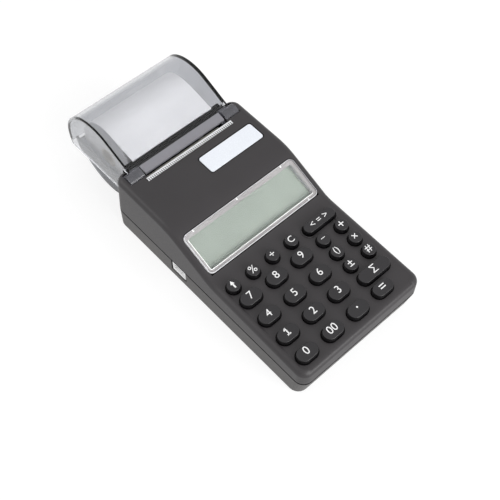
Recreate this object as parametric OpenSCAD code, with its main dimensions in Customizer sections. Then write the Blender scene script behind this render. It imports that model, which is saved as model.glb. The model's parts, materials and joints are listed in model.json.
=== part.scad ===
// Hand-held ticket register with a thermal printer under a clear roll cover.
// Millimetres. X runs to the right, Y towards the printer end, Z up.
// The origin is on the table, under the middle of the whole object.

/* [Casing] */
// How far the casing reaches beyond the cover's lugs at each side
casing_margin = 4.6; // [4:0.1:8]
// Length of both shells at the parting line
casing_len = 153; // [151:1:165]
// Height of the parting line above the table
parting_h = 14; // [13:0.5:16]
// Wall of both shells
wall = 2; // [1.8:0.1:2.4]
// Radius of the shells' corners seen from above
corner_r = 6; // [4.5:0.5:8]
// Radius of the upper shell's top edges
edge_r = 4; // [3:0.5:5]
// How far the base is drawn in at the sides
side_draft = 0; // [0:0.5:2]
// How far the base is drawn in at the front
front_rake = 3; // [0:0.5:6]
// Chamfer around the base
base_chamfer = 0.5; // [0.5:0.5:2]
// How far the rear wall leans forward at its top
rear_lean = 3.5; // [2:0.5:5]

/* [Top face] */
// Height of the keypad panel at the front end
panel_front_h = 25.3; // [24.5:0.1:28]
// Length of the keypad panel from the front end
keypad_len = 66.5; // [66:0.5:70]
// Slope of the keypad panel in degrees
panel_tilt = 2.5; // [1:0.5:4]
// Slope of the display face in degrees
display_tilt = 23.5; // [20:0.5:26]
// Length of the flat display face along its slope
display_face = 26; // [26:0.5:29]
// Slope of the top face at the printer in degrees
top_tilt = 1.5; // [0.5:0.5:3]
// Radius of the blend between keypad and display
front_blend_r = 20; // [10:1:26]
// Radius of the blend between display and top face
rear_blend_r = 36; // [20:1:44]

/* [Keys] */
// Distance from the front end to the row of 7, 8 and 9
first_row_u = 50.7; // [50.5:0.1:52]
// Distance of the keys from the casing's left side
key_margin_left = 4.5; // [3.6:0.1:6]
// Distance of the keys from the casing's right side
key_margin_right = 5.9; // [4.6:0.1:7]
// Gap between the number keys and the right-hand block of keys
block_gap = 5.6; // [3:0.1:6]
// Width of the right-hand block of keys
pair_block_w = 21.6; // [21.4:0.1:26]
// Sideways gap between two number keys
number_gap_x = 5.2; // [3:0.1:6]
// Lengthways pitch of the number keys
number_pitch_y = 13.8; // [12:0.1:13.8]
// Width of a number key
number_key_h = 8.5; // [8:0.1:9.8]
// Diameter of a round key
round_key_d = 7.9; // [7.5:0.1:9.1]
// Lengthways pitch of the two right-hand columns
round_pitch_y = 10.3; // [10.3:0.1:10.5]
// How much longer the mode key is than the block below it
mode_key_over = 0.3; // [0:0.1:1.4]
// Width of the long mode key
mode_key_h = 6.8; // [6:0.2:8]
// Length of the total key
total_key_w = 13.2; // [12:0.1:16]
// Width of the subtotal bar and the total key
bar_key_h = 8; // [7.5:0.1:8.8]
// How far a key stands above the panel
key_proud = 2.9; // [2:0.1:4]
// Travel of a key
key_travel = 1.2; // [0.8:0.1:1.4]
// Clearance around a key in its hole
key_gap = 0.25; // [0.15:0.05:0.3]
// Width of the retaining flange beyond a key's sides
key_flange = 0.5; // [0.4:0.05:0.5]
// Thickness of the retaining flange
key_flange_t = 0.8; // [0.6:0.1:1]

/* [Display] */
// Distance of the display window from the casing's sides
window_margin = 4; // [3.6:0.1:8]
// Height of the display window along the slope
window_h = 25.3; // [24.5:0.1:25.6]
// Thickness of the display window
window_t = 1.8; // [1.4:0.1:2]
// How far the window stands proud of the display face
window_proud = 0.4; // [0.1:0.1:0.6]
// Distance of the visible LCD area from the window's left and right ends
lcd_margin = 2.5; // [2:0.1:5]
// Height of the visible LCD area
lcd_view_h = 20.2; // [18:0.1:20.8]
// Thickness of the LCD glass
lcd_glass_t = 2.2; // [1.6:0.1:2.6]
// Depth from the shell's inner face to the LCD glass
lcd_depth = 2.2; // [1:0.1:3]

/* [Name plate] */
// Width of the blank name plate
plate_w = 38; // [30:0.5:40]
// Height of the blank name plate
plate_h = 12; // [9:0.5:14]
// Thickness of the name plate
plate_t = 0.6; // [0.4:0.1:0.8]
// Distance from the casing's centre line to the plate's left edge
plate_offset = -1; // [-3:0.5:2]
// Distance from the tear bar to the plate
plate_to_tear = 6.2; // [4:0.2:10]

/* [Roll cover] */
// Outer radius of the cover's arch
cover_r = 28.5; // [28.5:0.25:31]
// Distance of the arch's centre behind the casing
cover_offset = 22.7; // [22.7:0.1:25]
// Height of the arch's centre above the table
cover_h = 27.7; // [27.7:0.1:29]
// Gap between the roll and the tray's side plates
roll_side_gap = 2.7; // [1:0.1:3]
// Gap between the tray's side plates and the cover's walls
cover_side_gap = 1.9; // [1:0.1:2.5]
// Wall of the cover
cover_t = 1.6; // [1.2:0.1:1.8]
// Height of the side walls' lower edge
cover_side_h = 19; // [16:0.5:22]
// Distance of the hinge axis from the casing's rear end
hinge_inset = 10.1; // [9.6:0.1:10.6]
// Depth of the hinge axis below the top face
hinge_drop = 3.2; // [3:0.1:3.6]
// Radius of the cover's ears
ear_r = 4.6; // [4.2:0.1:4.8]
// How far the cover's lugs stand out beyond its side walls
lug_len = 2.8; // [2:0.1:4]
// How much narrower the front flap is than the paper
flap_short = 0.4; // [0:0.1:1]
// Clearance around the ears and the flap
cover_gap = 0.4; // [0.3:0.05:0.5]

/* [Paper] */
// Width of the receipt roll
paper_w = 57; // [56:0.5:64]
// Diameter of the receipt roll
roll_d = 45; // [30:1:45]
// Outer diameter of the roll's core
core_d = 12.5; // [10:0.5:18]
// Wall of the roll's core
core_t = 1.2; // [0.8:0.1:2]
// Wall of the paper tray
tray_t = 1.4; // [1:0.1:1.6]

/* [Printer] */
// Radius of the platen roller
platen_r = 4.5; // [4:0.1:4.6]
// Radius of the platen shaft
platen_shaft_r = 2; // [1.5:0.1:2.2]
// Distance of the platen's axis in front of the hinge axis
platen_ahead = 4.6; // [4.4:0.1:5]
// Distance of the platen's axis below the hinge axis
platen_drop = 9.3; // [9.2:0.1:9.6]
// Module of the gear train
gear_module = 0.5; // [0.4:0.05:0.5]
// Teeth of the platen gear
platen_teeth = 19; // [16:1:19]
// Teeth of the idler gear
idler_teeth = 18; // [14:1:18]
// Teeth of the motor pinion
pinion_teeth = 10; // [9:1:12]
// Face width of the gears
gear_face = 3; // [2:0.2:3]
// Direction from the platen to the idler and on to the motor, in degrees
train_angle = 190; // [186:1:194]
// Radius of the stepper motor
motor_r = 7; // [5:0.5:7.5]
// Length of the stepper motor
motor_len = 26; // [15:1:28]
// Running clearance of shafts in their bores
running_gap = 0.04; // [0.02:0.01:0.08]
// How much wider the tear bar is than the paper
tear_over = 3.9; // [3.4:0.1:6]
// Pitch of the tear bar's teeth
tear_pitch = 1.25; // [1:0.05:2]

/* [Batteries and boards] */
// Diameter of a cell
cell_d = 14.5; // [13:0.1:14.5]
// Length of a cell with its nub
cell_len = 50.5; // [44:0.5:50.5]
// Number of cells side by side
cell_count = 4; // [2:1:4]
// Travel of the battery door before it comes free
door_travel = 10; // [6:1:11]
// Thickness of the circuit boards
board_t = 1.6; // [1:0.1:1.6]

/* [Fasteners and feet] */
// Radius of the casing screws' shanks
screw_r = 1.45; // [1.2:0.05:1.5]
// Radius of the casing screws' heads
screw_head_r = 2.5; // [2.2:0.1:2.6]
// Diameter of the rubber feet
foot_d = 9; // [7:0.5:10]
// Height that the feet hold the base above the table
foot_proud = 0.8; // [0.5:0.1:1]

/* [Hidden] */
FN = 64;
SEAT = 0.3;              // gap between pieces that are seated on one another
SLIDE = 0.2;             // gap around the battery door and its tongues
FACET = 15;              // step of the rounded edges in degrees
EPS = 0.01;
BIG = 300;

// ---------- widths, from the paper outwards ----------
tray_x = paper_w / 2 + roll_side_gap + tray_t;
cover_w2 = tray_x + cover_side_gap + cover_t;
ear_reach = cover_w2 + lug_len;
casing_w = 2 * (ear_reach + casing_margin);
flap_half = (paper_w - flap_short) / 2;
slot_half = flap_half + 0.6;           // half width of the paper slot
ear_half = flap_half + 1.2;            // inner faces of the ears
tear_w = paper_w + tear_over;
window_w = casing_w - 2 * window_margin;
lcd_view_w = window_w - 2 * lcd_margin;

// ---------- the top face, as a profile over the distance from the front end ----------
blend1_u = keypad_len;
blend1_h = panel_front_h + keypad_len * tan(panel_tilt);
blend1_c = [blend1_u - front_blend_r * sin(panel_tilt), blend1_h + front_blend_r * cos(panel_tilt)];
face_u = blend1_c[0] + front_blend_r * sin(display_tilt);
face_h = blend1_c[1] - front_blend_r * cos(display_tilt);
blend2_u = face_u + display_face * cos(display_tilt);
blend2_h = face_h + display_face * sin(display_tilt);
blend2_c = [blend2_u + rear_blend_r * sin(display_tilt), blend2_h - rear_blend_r * cos(display_tilt)];
top_u = blend2_c[0] - rear_blend_r * sin(top_tilt);
top_h = blend2_c[1] + rear_blend_r * cos(top_tilt);

// height of the top face at distance u from the front end
function face_z(u) =
    u < blend1_u ? panel_front_h + u * tan(panel_tilt)
    : u < face_u ? blend1_c[1] - sqrt(pow(front_blend_r, 2) - pow(u - blend1_c[0], 2))
    : u < blend2_u ? face_h + (u - face_u) * tan(display_tilt)
    : u < top_u ? blend2_c[1] + sqrt(pow(rear_blend_r, 2) - pow(u - blend2_c[0], 2))
    : top_h + (u - top_u) * tan(top_tilt);

// slope of the top face at distance u from the front end
function face_a(u) =
    u < blend1_u ? panel_tilt
    : u < face_u ? asin((u - blend1_c[0]) / front_blend_r)
    : u < blend2_u ? display_tilt
    : u < top_u ? asin((blend2_c[0] - u) / rear_blend_r)
    : top_tilt;

total_len = casing_len + cover_offset + cover_r;
function fy(u) = u - total_len / 2;

// ---------- shared places ----------
base_h = foot_proud;
floor_h = base_h + wall;
lean_a = atan(rear_lean / (face_z(casing_len) - parting_h));
// outer face of the rear wall at height z, as a distance from the front end
function rear_u(z) = casing_len - max(0, z - parting_h) * tan(lean_a);

// rear end of the cover's front flap, seen from the hinge axis
neck = [2.4, ear_r - 0.2];
pocket_r = norm(neck) + cover_gap;
hinge_u = casing_len - hinge_inset;
hinge_h = face_z(hinge_u) - hinge_drop;
flap_front_u = hinge_u - 2.7;
slot_u = flap_front_u - 3.7;           // front face of the paper slot
tear_leaf = 1.9;                       // visible width of the tear bar
tear_t = 0.6;
tear_leg = 4;
tear_depth = 0.7;
wall_top_h = hinge_h + ear_r - cover_t - 0.6;   // top of the casing's rear wall, under the cover

platen_u = hinge_u - platen_ahead;
platen_h = hinge_h - platen_drop;
idler_gap = gear_module * (platen_teeth + idler_teeth) / 2;
motor_gap = gear_module * (idler_teeth + pinion_teeth) / 2;
idler_u = platen_u + idler_gap * cos(train_angle);
idler_h = platen_h + idler_gap * sin(train_angle);
motor_u = idler_u + motor_gap * cos(train_angle);
motor_h = idler_h + motor_gap * sin(train_angle);
frame_x = paper_w / 2 + 2.5;           // inner faces of the printer frame's side plates
frame_t = 1.5;
gear_x = frame_x + frame_t + 0.9;

// ---------- battery bay ----------
bay_x = cell_len / 2 + 1.75;
bay_t = 1.4;
bay_end_gap = 0.4;
door_t = wall - SLIDE;
tongue = 1;                            // reach of the door's tongues into the casing
tongue_h = base_h + 0.6;
tongue_t = 0.6;
tongue_len = door_travel - 1;
cell_pitch = cell_d + 0.1;
cell_h = floor_h + SEAT + cell_d / 2;
bay_roof_h = cell_h + cell_d / 2 + SEAT;
bay_rear_u = rear_u(bay_roof_h + bay_t) - wall - SEAT - bay_t;
bay_front_u = bay_rear_u - cell_count * cell_pitch - 2 * bay_end_gap;

// ---------- keys ----------
keys_left = key_margin_left - casing_w / 2;
keys_right = casing_w / 2 - key_margin_right;
pair_left = keys_right - pair_block_w;
number_block_w = pair_left - block_gap - keys_left;
number_key_w = (number_block_w - 2 * number_gap_x) / 3;
number_pitch_x = number_key_w + number_gap_x;
round_pitch_x = (number_block_w - round_key_d) / 3;
pair_pitch_x = pair_block_w - round_key_d;
shift_u = first_row_u + 10.8;          // top row of round keys
low_u = first_row_u - 4 * round_pitch_y;
function round_key(name, x, u) = [name, x, u, round_key_d, round_key_d];
function number_key(name, col, row) =
    let(x = keys_left + number_key_w / 2 + col * number_pitch_x)
    [name, x, first_row_u - row * number_pitch_y, number_key_w, number_key_h];
// name, x, distance from the front end, length, width
KEYS = concat(
    [for (i = [0:3]) round_key(["key_up", "key_function_1", "key_function_2", "key_clear"][i],
        keys_left + round_key_d / 2 + i * round_pitch_x, shift_u)],
    [for (i = [0:5]) round_key(["key_minus", "key_plus", "key_function_3", "key_function_4",
        "key_function_5", "key_function_6"][i],
        pair_left + round_key_d / 2 + (i % 2) * pair_pitch_x, first_row_u - floor(i / 2) * round_pitch_y)],
    [["key_mode", pair_left + pair_block_w / 2 - 0.2, shift_u - 0.7,
            pair_block_w + mode_key_over, mode_key_h],
        ["key_subtotal", pair_left + pair_block_w / 2, low_u + round_pitch_y, pair_block_w, bar_key_h],
        ["key_total", pair_left + total_key_w / 2, low_u, total_key_w, bar_key_h]],
    [for (row = [0:2], col = [0:2]) number_key(str("key_", 7 - 3 * row + col), col, row)],
    [for (col = [0:2]) number_key(["key_0", "key_00", "key_point"][col], col, 3)]);
key_roof = wall + 0.2;                 // depth of the flange's top under the panel
key_bottom = key_roof + key_flange_t;
dome_h = 0.6;
mat_t = 1;
mat_top = key_bottom + key_travel + 0.1 + dome_h;
board_top = mat_top + mat_t;
keypad_x = casing_w / 2 - wall - 1.7;
keypad_u0 = wall + 2;
keypad_u1 = keypad_len + 0.5;

// ---------- main board ----------
main_standoff = 1.6;
main_top_h = floor_h + main_standoff + board_t;
board_screw_depth = 2.2;
main_u0 = front_rake + wall + 5;
main_u1 = bay_front_u - bay_t - 1;
main_x = casing_w / 2 - 7.5;
port_u = bay_front_u + 8.4;            // middle of the side connector
port_w = 11;
port_h = 7.4;
port_len = 11;
port_x = -(casing_w / 2 - 0.4);
board_screw_r = 1.1;
board_screw_head_r = 2;
BOARD_HOLES = [for (x = [-main_x + 4, main_x - 4], u = [main_u0 + 6, main_u1 - 4]) [x, u]];

// ---------- casing screws ----------
screw_front = [casing_w / 2 - 5.5, 8.2];
screw_rear = [casing_w / 2 - 5.2, casing_len - 5.8];
SCREWS = [for (s = [-1, 1], p = [screw_front, screw_rear]) [s * p[0], p[1]]];
post_r = screw_head_r + 1.5;
boss_r = screw_r + 1.4;
front_boss_len = 3.6;
rear_boss_len = 12;
boss_top_h = [parting_h + front_boss_len, parting_h + rear_boss_len];
screw_len = 13;
screw_head_t = 1.8;
screw_seat_h = floor_h + 1.2;
tray_screw_x = bay_x + bay_t + screw_head_r + 0.2;
tray_screw_h = 9;
tray_screw_len = 6;
tray_lug = 2.8;

// ================= helpers =================

// places children in the frame of the top face: z = 0 is the surface, z up is its normal
module on_face(x, u) {
    translate([x, fy(u), face_z(u)]) rotate([face_a(u), 0, 0]) children();
}

// places children in the middle of the display face
module on_display() {
    on_face(0, (face_u + blend2_u) / 2) children();
}

// a 2D profile in the plane of length and height, extruded from x0 to x1
module across(x0, x1) {
    translate([x0, 0, 0]) rotate([90, 0, 90]) linear_extrude(x1 - x0) children();
}

// cylinder along X
module bar_x(x0, x1, u, z, r) {
    translate([x0, fy(u), z]) rotate([0, 90, 0]) cylinder(h = x1 - x0, r = r, $fn = FN);
}

module box(x0, x1, u0, u1, z0, z1) {
    translate([x0, fy(u0), z0]) cube([x1 - x0, u1 - u0, z1 - z0]);
}

// the same three, on both sides of the middle, between the distances a and b from it
module across_pair(a, b) {
    for (s = [-1, 1]) across(s > 0 ? a : -b, s > 0 ? b : -a) children();
}

module bar_pair(a, b, u, z, r) {
    for (s = [-1, 1]) bar_x(s > 0 ? a : -b, s > 0 ? b : -a, u, z, r);
}

module box_pair(a, b, u0, u1, z0, z1) {
    for (s = [-1, 1]) box(s > 0 ? a : -b, s > 0 ? b : -a, u0, u1, z0, z1);
}

// outline with round ends, or a circle when both sides are equal
module capsule(w, h) {
    half = max(0, w - h) / 2;
    if (half > 0) square([2 * half, h], center = true);
    for (s = half > 0 ? [-1, 1] : [0]) translate([s * half, 0]) circle(d = h, $fn = FN);
}

module rounded_rect(w, h, r) {
    square([w - 2 * r, h], center = true);
    square([w, h - 2 * r], center = true);
    for (sx = [-1, 1], sy = [-1, 1])
        translate([sx * (w / 2 - r), sy * (h / 2 - r)]) circle(r, $fn = 32);
}

// joins closed sections of equal length into one solid
module skin(sections) {
    m = len(sections[0]);
    n = len(sections);
    sides = [for (i = [0:n - 2], j = [0:m - 1])
        [i * m + j, i * m + (j + 1) % m, (i + 1) * m + (j + 1) % m, (i + 1) * m + j]];
    ends = [[for (j = [m - 1:-1:0]) j], [for (j = [0:m - 1]) (n - 1) * m + j]];
    polyhedron(points = [for (s = sections, p = s) p], faces = concat(sides, ends), convexity = 6);
}

// how far a rounded edge of radius r has fallen away at distance d from its end
function edge_drop(d, r) = d >= r ? 0 : r - sqrt(max(0, r * r - (r - d) * (r - d)));

// ================= casing =================

function shell_section(u, inset) =
    let(d = u - inset,
        rc = corner_r - inset,
        re = edge_r - inset,
        w = casing_w / 2 - inset - edge_drop(d, rc),
        z1 = face_z(u) - inset / cos(face_a(u)) - edge_drop(d, re),
        z0 = inset > 0 ? parting_h - 1 : parting_h + SEAT,
        y = fy(u))
    concat(
        [[w, y, z0]],
        [for (a = [0:FACET:90]) [w - re + re * cos(a), y, z1 - re + re * sin(a)]],
        [for (a = [90:FACET:180]) [-w + re + re * cos(a), y, z1 - re + re * sin(a)]],
        [[-w, y, z0]]);

function shell_stations(inset) =
    let(r = max(corner_r, edge_r) - inset)
    concat(
        [for (a = [0:FACET:90]) inset + r * (1 - cos(a))],
        [for (i = [0:5]) blend1_u + (face_u - blend1_u) * i / 5],
        [for (i = [0:7]) blend2_u + (top_u - blend2_u) * i / 7],
        [casing_len + 5]);

// everything in front of the leaning rear wall, with its rounded corners
module rear_trim(inset) {
    r = corner_r - inset;
    w = casing_w / 2 - inset;
    translate([0, fy(casing_len) - inset / cos(lean_a), parting_h]) rotate([lean_a, 0, 0])
        translate([0, 0, -wall - 2]) linear_extrude(BIG / 4) {
            translate([-w, -BIG]) square([2 * w, BIG - r]);
            translate([-w + r, -BIG]) square([2 * (w - r), BIG]);
            for (s = [-1, 1]) translate([s * (w - r), -r]) circle(r, $fn = FN);
        }
}

module upper_solid(inset) {
    intersection() {
        skin([for (u = shell_stations(inset)) shell_section(u, inset)]);
        rear_trim(inset);
    }
}

// bosses of the upper casing, tied to the side walls
module upper_bosses() {
    intersection() {
        upper_solid(1);
        union() for (s = [-1, 1], i = [0, 1]) {
            p = [screw_front, screw_rear][i];
            z0 = parting_h + SEAT;
            translate([s * p[0], fy(p[1]), z0]) cylinder(h = boss_top_h[i] - z0, r = boss_r, $fn = FN);
            translate([s > 0 ? p[0] : -BIG - p[0], fy(p[1]) - 0.8, z0]) cube([BIG, 1.6, boss_top_h[i] - z0]);
        }
    }
}

// ear pockets, paper slot and the room under the cover's front edge
module cover_openings() {
    bar_pair(slot_half, ear_reach + cover_gap, hinge_u, hinge_h, pocket_r);
    box(-slot_half, slot_half, slot_u, rear_u(wall_top_h) - wall, parting_h + wall, BIG);
    box(-cover_w2 - cover_gap, cover_w2 + cover_gap, hinge_u, casing_len + 1, wall_top_h, BIG);
}

module upper_casing() {
    color("#464244") difference() {
        union() {
            difference() {
                upper_solid(0);
                upper_solid(wall);
            }
            upper_bosses();
        }
        for (k = KEYS) on_face(k[1], k[2])
            translate([0, 0, -wall - 2]) linear_extrude(wall + 6)
                capsule(k[3] + 2 * key_gap, k[4] + 2 * key_gap);
        on_display() {
            translate([0, 0, window_proud - window_t]) linear_extrude(wall + 4)
                rounded_rect(window_w + 2 * SLIDE, window_h + 2 * SLIDE, 2);
            translate([0, 0, -wall - 2]) linear_extrude(wall + 4)
                rounded_rect(lcd_view_w + 1.4, lcd_view_h + 1.4, 1);
        }
        on_face(plate_offset + plate_w / 2, slot_u - tear_leaf - plate_to_tear - plate_h / 2)
            translate([0, 0, -plate_t + 0.2]) linear_extrude(4)
                rounded_rect(plate_w + SLIDE, plate_h + SLIDE, 1.6);
        on_face(0, slot_u) translate([-tear_w / 2 - 0.1, -tear_leaf - 0.1, 0.2 - tear_t])
            cube([tear_w + 0.2, tear_leaf + 1, 4]);
        cover_openings();
        for (i = SCREWS) translate([i[0], fy(i[1]), parting_h]) cylinder(h = 8, r = screw_r + 0.05, $fn = FN);
    }
}

// rounded outline of the lower shell at height z
function base_outline(z, inset) =
    let(f = min(1, (parting_h - z) / (parting_h - base_h - base_chamfer)),
        c = max(0, base_chamfer - (z - base_h)),
        w = casing_w / 2 - side_draft * f - c - inset,
        y0 = fy(0) + front_rake * f + c + inset,
        y1 = fy(casing_len) - c - inset,
        r = corner_r - inset / 2)
    concat(
        [for (a = [180:FACET:270]) [-w + r + r * cos(a), y0 + r + r * sin(a), z]],
        [for (a = [270:FACET:360]) [w - r + r * cos(a), y0 + r + r * sin(a), z]],
        [for (a = [0:FACET:90]) [w - r + r * cos(a), y1 - r + r * sin(a), z]],
        [for (a = [90:FACET:180]) [-w + r + r * cos(a), y1 - r + r * sin(a), z]]);

module lower_solid() {
    skin([for (z = [parting_h, base_h + base_chamfer, base_h]) base_outline(z, 0)]);
}

module lower_cavity() {
    difference() {
        skin([base_outline(parting_h, wall), base_outline(floor_h, wall)]);
        for (i = SCREWS) translate([i[0], fy(i[1]), 0]) cylinder(h = parting_h, r = post_r, $fn = FN);
    }
}

// walls and roof of the battery bay
module bay_shell() {
    x = bay_x + bay_t;
    box(-x, x, bay_front_u - bay_t, bay_rear_u + bay_t, floor_h - EPS, bay_roof_h + bay_t);
}

// grooves for the door's tongues, open at the rear
module door_grooves() {
    x = bay_x + tongue + SLIDE;
    box(-x, x, bay_front_u, casing_len + 1, tongue_h - SLIDE, tongue_h + tongue_t + SLIDE);
}

module lower_casing() {
    color("#828280") difference() {
        union() {
            difference() {
                lower_solid();
                lower_cavity();
            }
            bay_shell();
            for (p = BOARD_HOLES) translate([p[0], fy(p[1]), floor_h - EPS])
                cylinder(h = main_standoff + EPS, r = board_screw_r + 1.3, $fn = FN);
        }
        box(-bay_x, bay_x, bay_front_u, bay_rear_u, floor_h - 1, bay_roof_h);
        box(-bay_x, bay_x, bay_front_u, casing_len + 1, -1, floor_h);
        door_grooves();
        for (i = SCREWS) translate([i[0], fy(i[1]), 0]) {
            cylinder(h = screw_seat_h, r = screw_head_r + 0.2, $fn = FN);
            cylinder(h = parting_h + 1, r = screw_r + 0.05, $fn = FN);
        }
        for (p = FEET) translate([p[0], fy(p[1]), 0])
            cylinder(h = base_h + foot_sink, r = foot_d / 2 + 0.1, $fn = FN);
        for (p = BOARD_HOLES) translate([p[0], fy(p[1]), main_top_h - board_t - board_screw_depth - 0.1])
            cylinder(h = 10, r = board_screw_r + 0.05, $fn = FN);
        box(-casing_w, -casing_w / 2 + wall + 4, port_u - port_w / 2 - 1, port_u + port_w / 2 + 0.6,
            main_top_h - 0.5, parting_h + 1);
        tray_screw_holes();
    }
}

foot_sink = 0.4;
foot_front = [casing_w / 2 - 11.5, front_rake + 18];
foot_rear = [casing_w / 2 - 7.3, casing_len - 17];
FEET = [for (s = [-1, 1], p = [foot_front, foot_rear]) [s * p[0], p[1]]];

module rubber_feet() {
    color("#1c1c1c") for (p = FEET) translate([p[0], fy(p[1]), 0]) {
        cylinder(h = 0.4, r1 = foot_d / 2 - 0.4, r2 = foot_d / 2, $fn = FN);
        translate([0, 0, 0.4]) cylinder(h = base_h + foot_sink - 0.4, r = foot_d / 2, $fn = FN);
    }
}

module battery_door() {
    x = bay_x - SLIDE;
    u0 = bay_front_u + SLIDE;
    u1 = casing_len - base_chamfer;
    color("#828280") difference() {
        union() {
            box(-x, x, u0, u1, base_h, base_h + door_t);
            for (i = [0:2]) {
                u = u0 + 2 + i * (u1 - u0 - 4 - tongue_len) / 2;
                box(-x - tongue, x + tongue, u, u + tongue_len, tongue_h, tongue_h + tongue_t);
            }
        }
        // finger grooves
        for (i = [0:4]) {
            u = u1 - 7 - i * 2;
            half = 8 - i * 0.6;
            box(-half, half, u, u + 1, base_h - 1, base_h + 0.5);
        }
    }
}

// holes of the two screws that hold the tray to the rear wall
module tray_screw_holes() {
    for (s = [-1, 1]) translate([s * tray_screw_x, fy(casing_len - wall) - 1, tray_screw_h])
        rotate([-90, 0, 0]) cylinder(h = tray_screw_len + 1.4, r = screw_r + 0.05, $fn = FN);
}

// a pan-head screw standing on its head's flat side, thread upwards
module screw(len) {
    cylinder(h = len, r = screw_r, $fn = 32);
    translate([0, 0, -screw_head_t]) difference() {
        cylinder(h = screw_head_t, r = screw_head_r, $fn = FN);
        for (a = [0, 90]) rotate(a) translate([-1.5, -0.35, -EPS]) cube([3, 0.7, 0.9]);
    }
}

module case_screws() {
    color("#8c8f92") {
        for (i = SCREWS) translate([i[0], fy(i[1]), screw_seat_h]) screw(screw_len);
        for (s = [-1, 1]) translate([s * tray_screw_x, fy(casing_len - wall), tray_screw_h])
            rotate([-90, 0, 0]) screw(tray_screw_len);
    }
}

module name_plate() {
    color("#f2f3f4") on_face(plate_offset + plate_w / 2, slot_u - tear_leaf - plate_to_tear - plate_h / 2)
        translate([0, 0, 0.2 - plate_t]) linear_extrude(plate_t) rounded_rect(plate_w, plate_h, 1.5);
}

// ================= display =================

module display_window() {
    color("#9a9a9e") on_display() translate([0, 0, window_proud - window_t])
        linear_extrude(window_t) rounded_rect(window_w, window_h, 1.8);
}

frame_edge_x = 2.3;
frame_edge_y = 2.4;
pocket_edge = 1.4;                     // the LCD glass reaches this far under the frame

// a box centred on the display, w by h, from z0 to z1
module display_box(w, h, z0, z1) {
    on_display() translate([-w / 2, -h / 2, z0]) cube([w, h, z1 - z0]);
}

module lcd_frame() {
    bottom = -wall - lcd_depth - lcd_glass_t;
    color("#8a8a8c") difference() {
        display_box(lcd_view_w + 2 * frame_edge_x, lcd_view_h + 2 * frame_edge_y, bottom, -wall);
        display_box(lcd_view_w, lcd_view_h, bottom - 1, 0);
        display_box(lcd_view_w + 2 * pocket_edge + 0.2, lcd_view_h + 2 * pocket_edge + 0.2,
            bottom - 1, bottom + lcd_glass_t);
    }
}

module lcd_glass() {
    top = -wall - lcd_depth;
    color("#b0beb0")
        display_box(lcd_view_w + 2 * pocket_edge, lcd_view_h + 2 * pocket_edge, top - lcd_glass_t, top);
}

module display_board() {
    top = -wall - lcd_depth - lcd_glass_t;
    color("#2f6b3a")
        display_box(lcd_view_w + 2 * frame_edge_x, lcd_view_h + 2 * frame_edge_y, top - board_t, top);
}

// ================= keypad =================

// one layer of a key, wider than the cap by grow, from z0 to z1 above the panel
module key_layer(k, grow, z0, z1) {
    translate([0, 0, z0]) linear_extrude(z1 - z0) capsule(k[3] + grow, k[4] + grow);
}

module key_cap(k) {
    color("#232124") on_face(k[1], k[2]) {
        key_layer(k, 2 * key_flange, -key_bottom, -key_roof);
        key_layer(k, 0, -key_roof, key_proud - 0.4);
        key_layer(k, -0.3, key_proud - 0.4, key_proud - 0.2);
        key_layer(k, -0.9, key_proud - 0.2, key_proud);
    }
}

// a sheet under all the keys, its top at depth below the panel
module keypad_sheet(depth, t) {
    on_face(0, (keypad_u0 + keypad_u1) / 2) translate([-keypad_x, -(keypad_u1 - keypad_u0) / 2, -depth - t])
        cube([2 * keypad_x, keypad_u1 - keypad_u0, t]);
}

module keypad_mat() {
    color("#3a3d42") {
        keypad_sheet(mat_top, mat_t);
        for (k = KEYS) on_face(k[1], k[2]) translate([0, 0, -mat_top - EPS])
            cylinder(h = dome_h + EPS, d = min(k[3], k[4]) - 1.6, $fn = 32);
    }
}

module keypad_board() {
    color("#2f6b3a") keypad_sheet(board_top, board_t);
}

// ================= main board =================

module main_board() {
    z0 = main_top_h - board_t;
    color("#2f6b3a") difference() {
        union() {
            box(-main_x, main_x, main_u0, main_u1, z0, main_top_h);
            box(port_x + 2.4, -bay_x - bay_t - 0.6, main_u1 - 6, port_u + port_w / 2 + 2, z0, main_top_h);
        }
        for (p = BOARD_HOLES) translate([p[0], fy(p[1]), 0])
            cylinder(h = BIG, r = board_screw_r + 0.05, $fn = FN);
        for (p = SCREWS) translate([p[0], fy(p[1]), 0])
            cylinder(h = BIG, r = post_r + SEAT, $fn = FN);
    }
}

module board_screws() {
    color("#a8a29a") for (p = BOARD_HOLES) translate([p[0], fy(p[1]), main_top_h]) {
        cylinder(h = 1.3, r = board_screw_head_r, $fn = FN);
        translate([0, 0, -board_t - board_screw_depth])
            cylinder(h = board_t + board_screw_depth + EPS, r = board_screw_r, $fn = 32);
    }
}

// chips on the main board: x, distance from its front edge, length, width, height
CHIPS = [[-12, 22, 14, 14, 1.6], [12, 26, 10, 6, 1.4], [-28, 24, 8, 5, 1.4], [-10, 54, 18, 8, 2.2]];

module board_chips() {
    color("#1e1e20") for (c = CHIPS) box(c[0], c[0] + c[2], main_u0 + c[1], main_u0 + c[1] + c[3],
        main_top_h, main_top_h + c[4]);
}

module buzzer() {
    color("#1e1e20") translate([main_x - 12, fy(main_u0 + 50), main_top_h]) difference() {
        cylinder(h = 5, r = 6, $fn = FN);
        translate([0, 0, 3]) cylinder(h = 3, r = 1, $fn = 32);
    }
}

header_x = 13;
header_half = 2.2;

// pin header that joins the main board to the keypad board
module board_header() {
    u = main_u0 + 12;
    under = face_z(u) - (board_top + board_t) / cos(panel_tilt) - header_half * tan(panel_tilt) - 0.05;
    color("#202022") box(-header_x, header_x, u - header_half, u + header_half, main_top_h, under);
}

port_t = 1.2;
module side_connector() {
    u0 = port_u - port_w / 2;
    u1 = port_u + port_w / 2;
    top = main_top_h + port_h;
    color("#d8dadc") difference() {
        box(port_x, port_x + port_len, u0, u1, main_top_h, top);
        box(port_x - 1, port_x + port_len - 2, u0 + port_t, u1 - port_t, main_top_h + port_t, top - port_t);
    }
}

// ================= batteries =================

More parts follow.
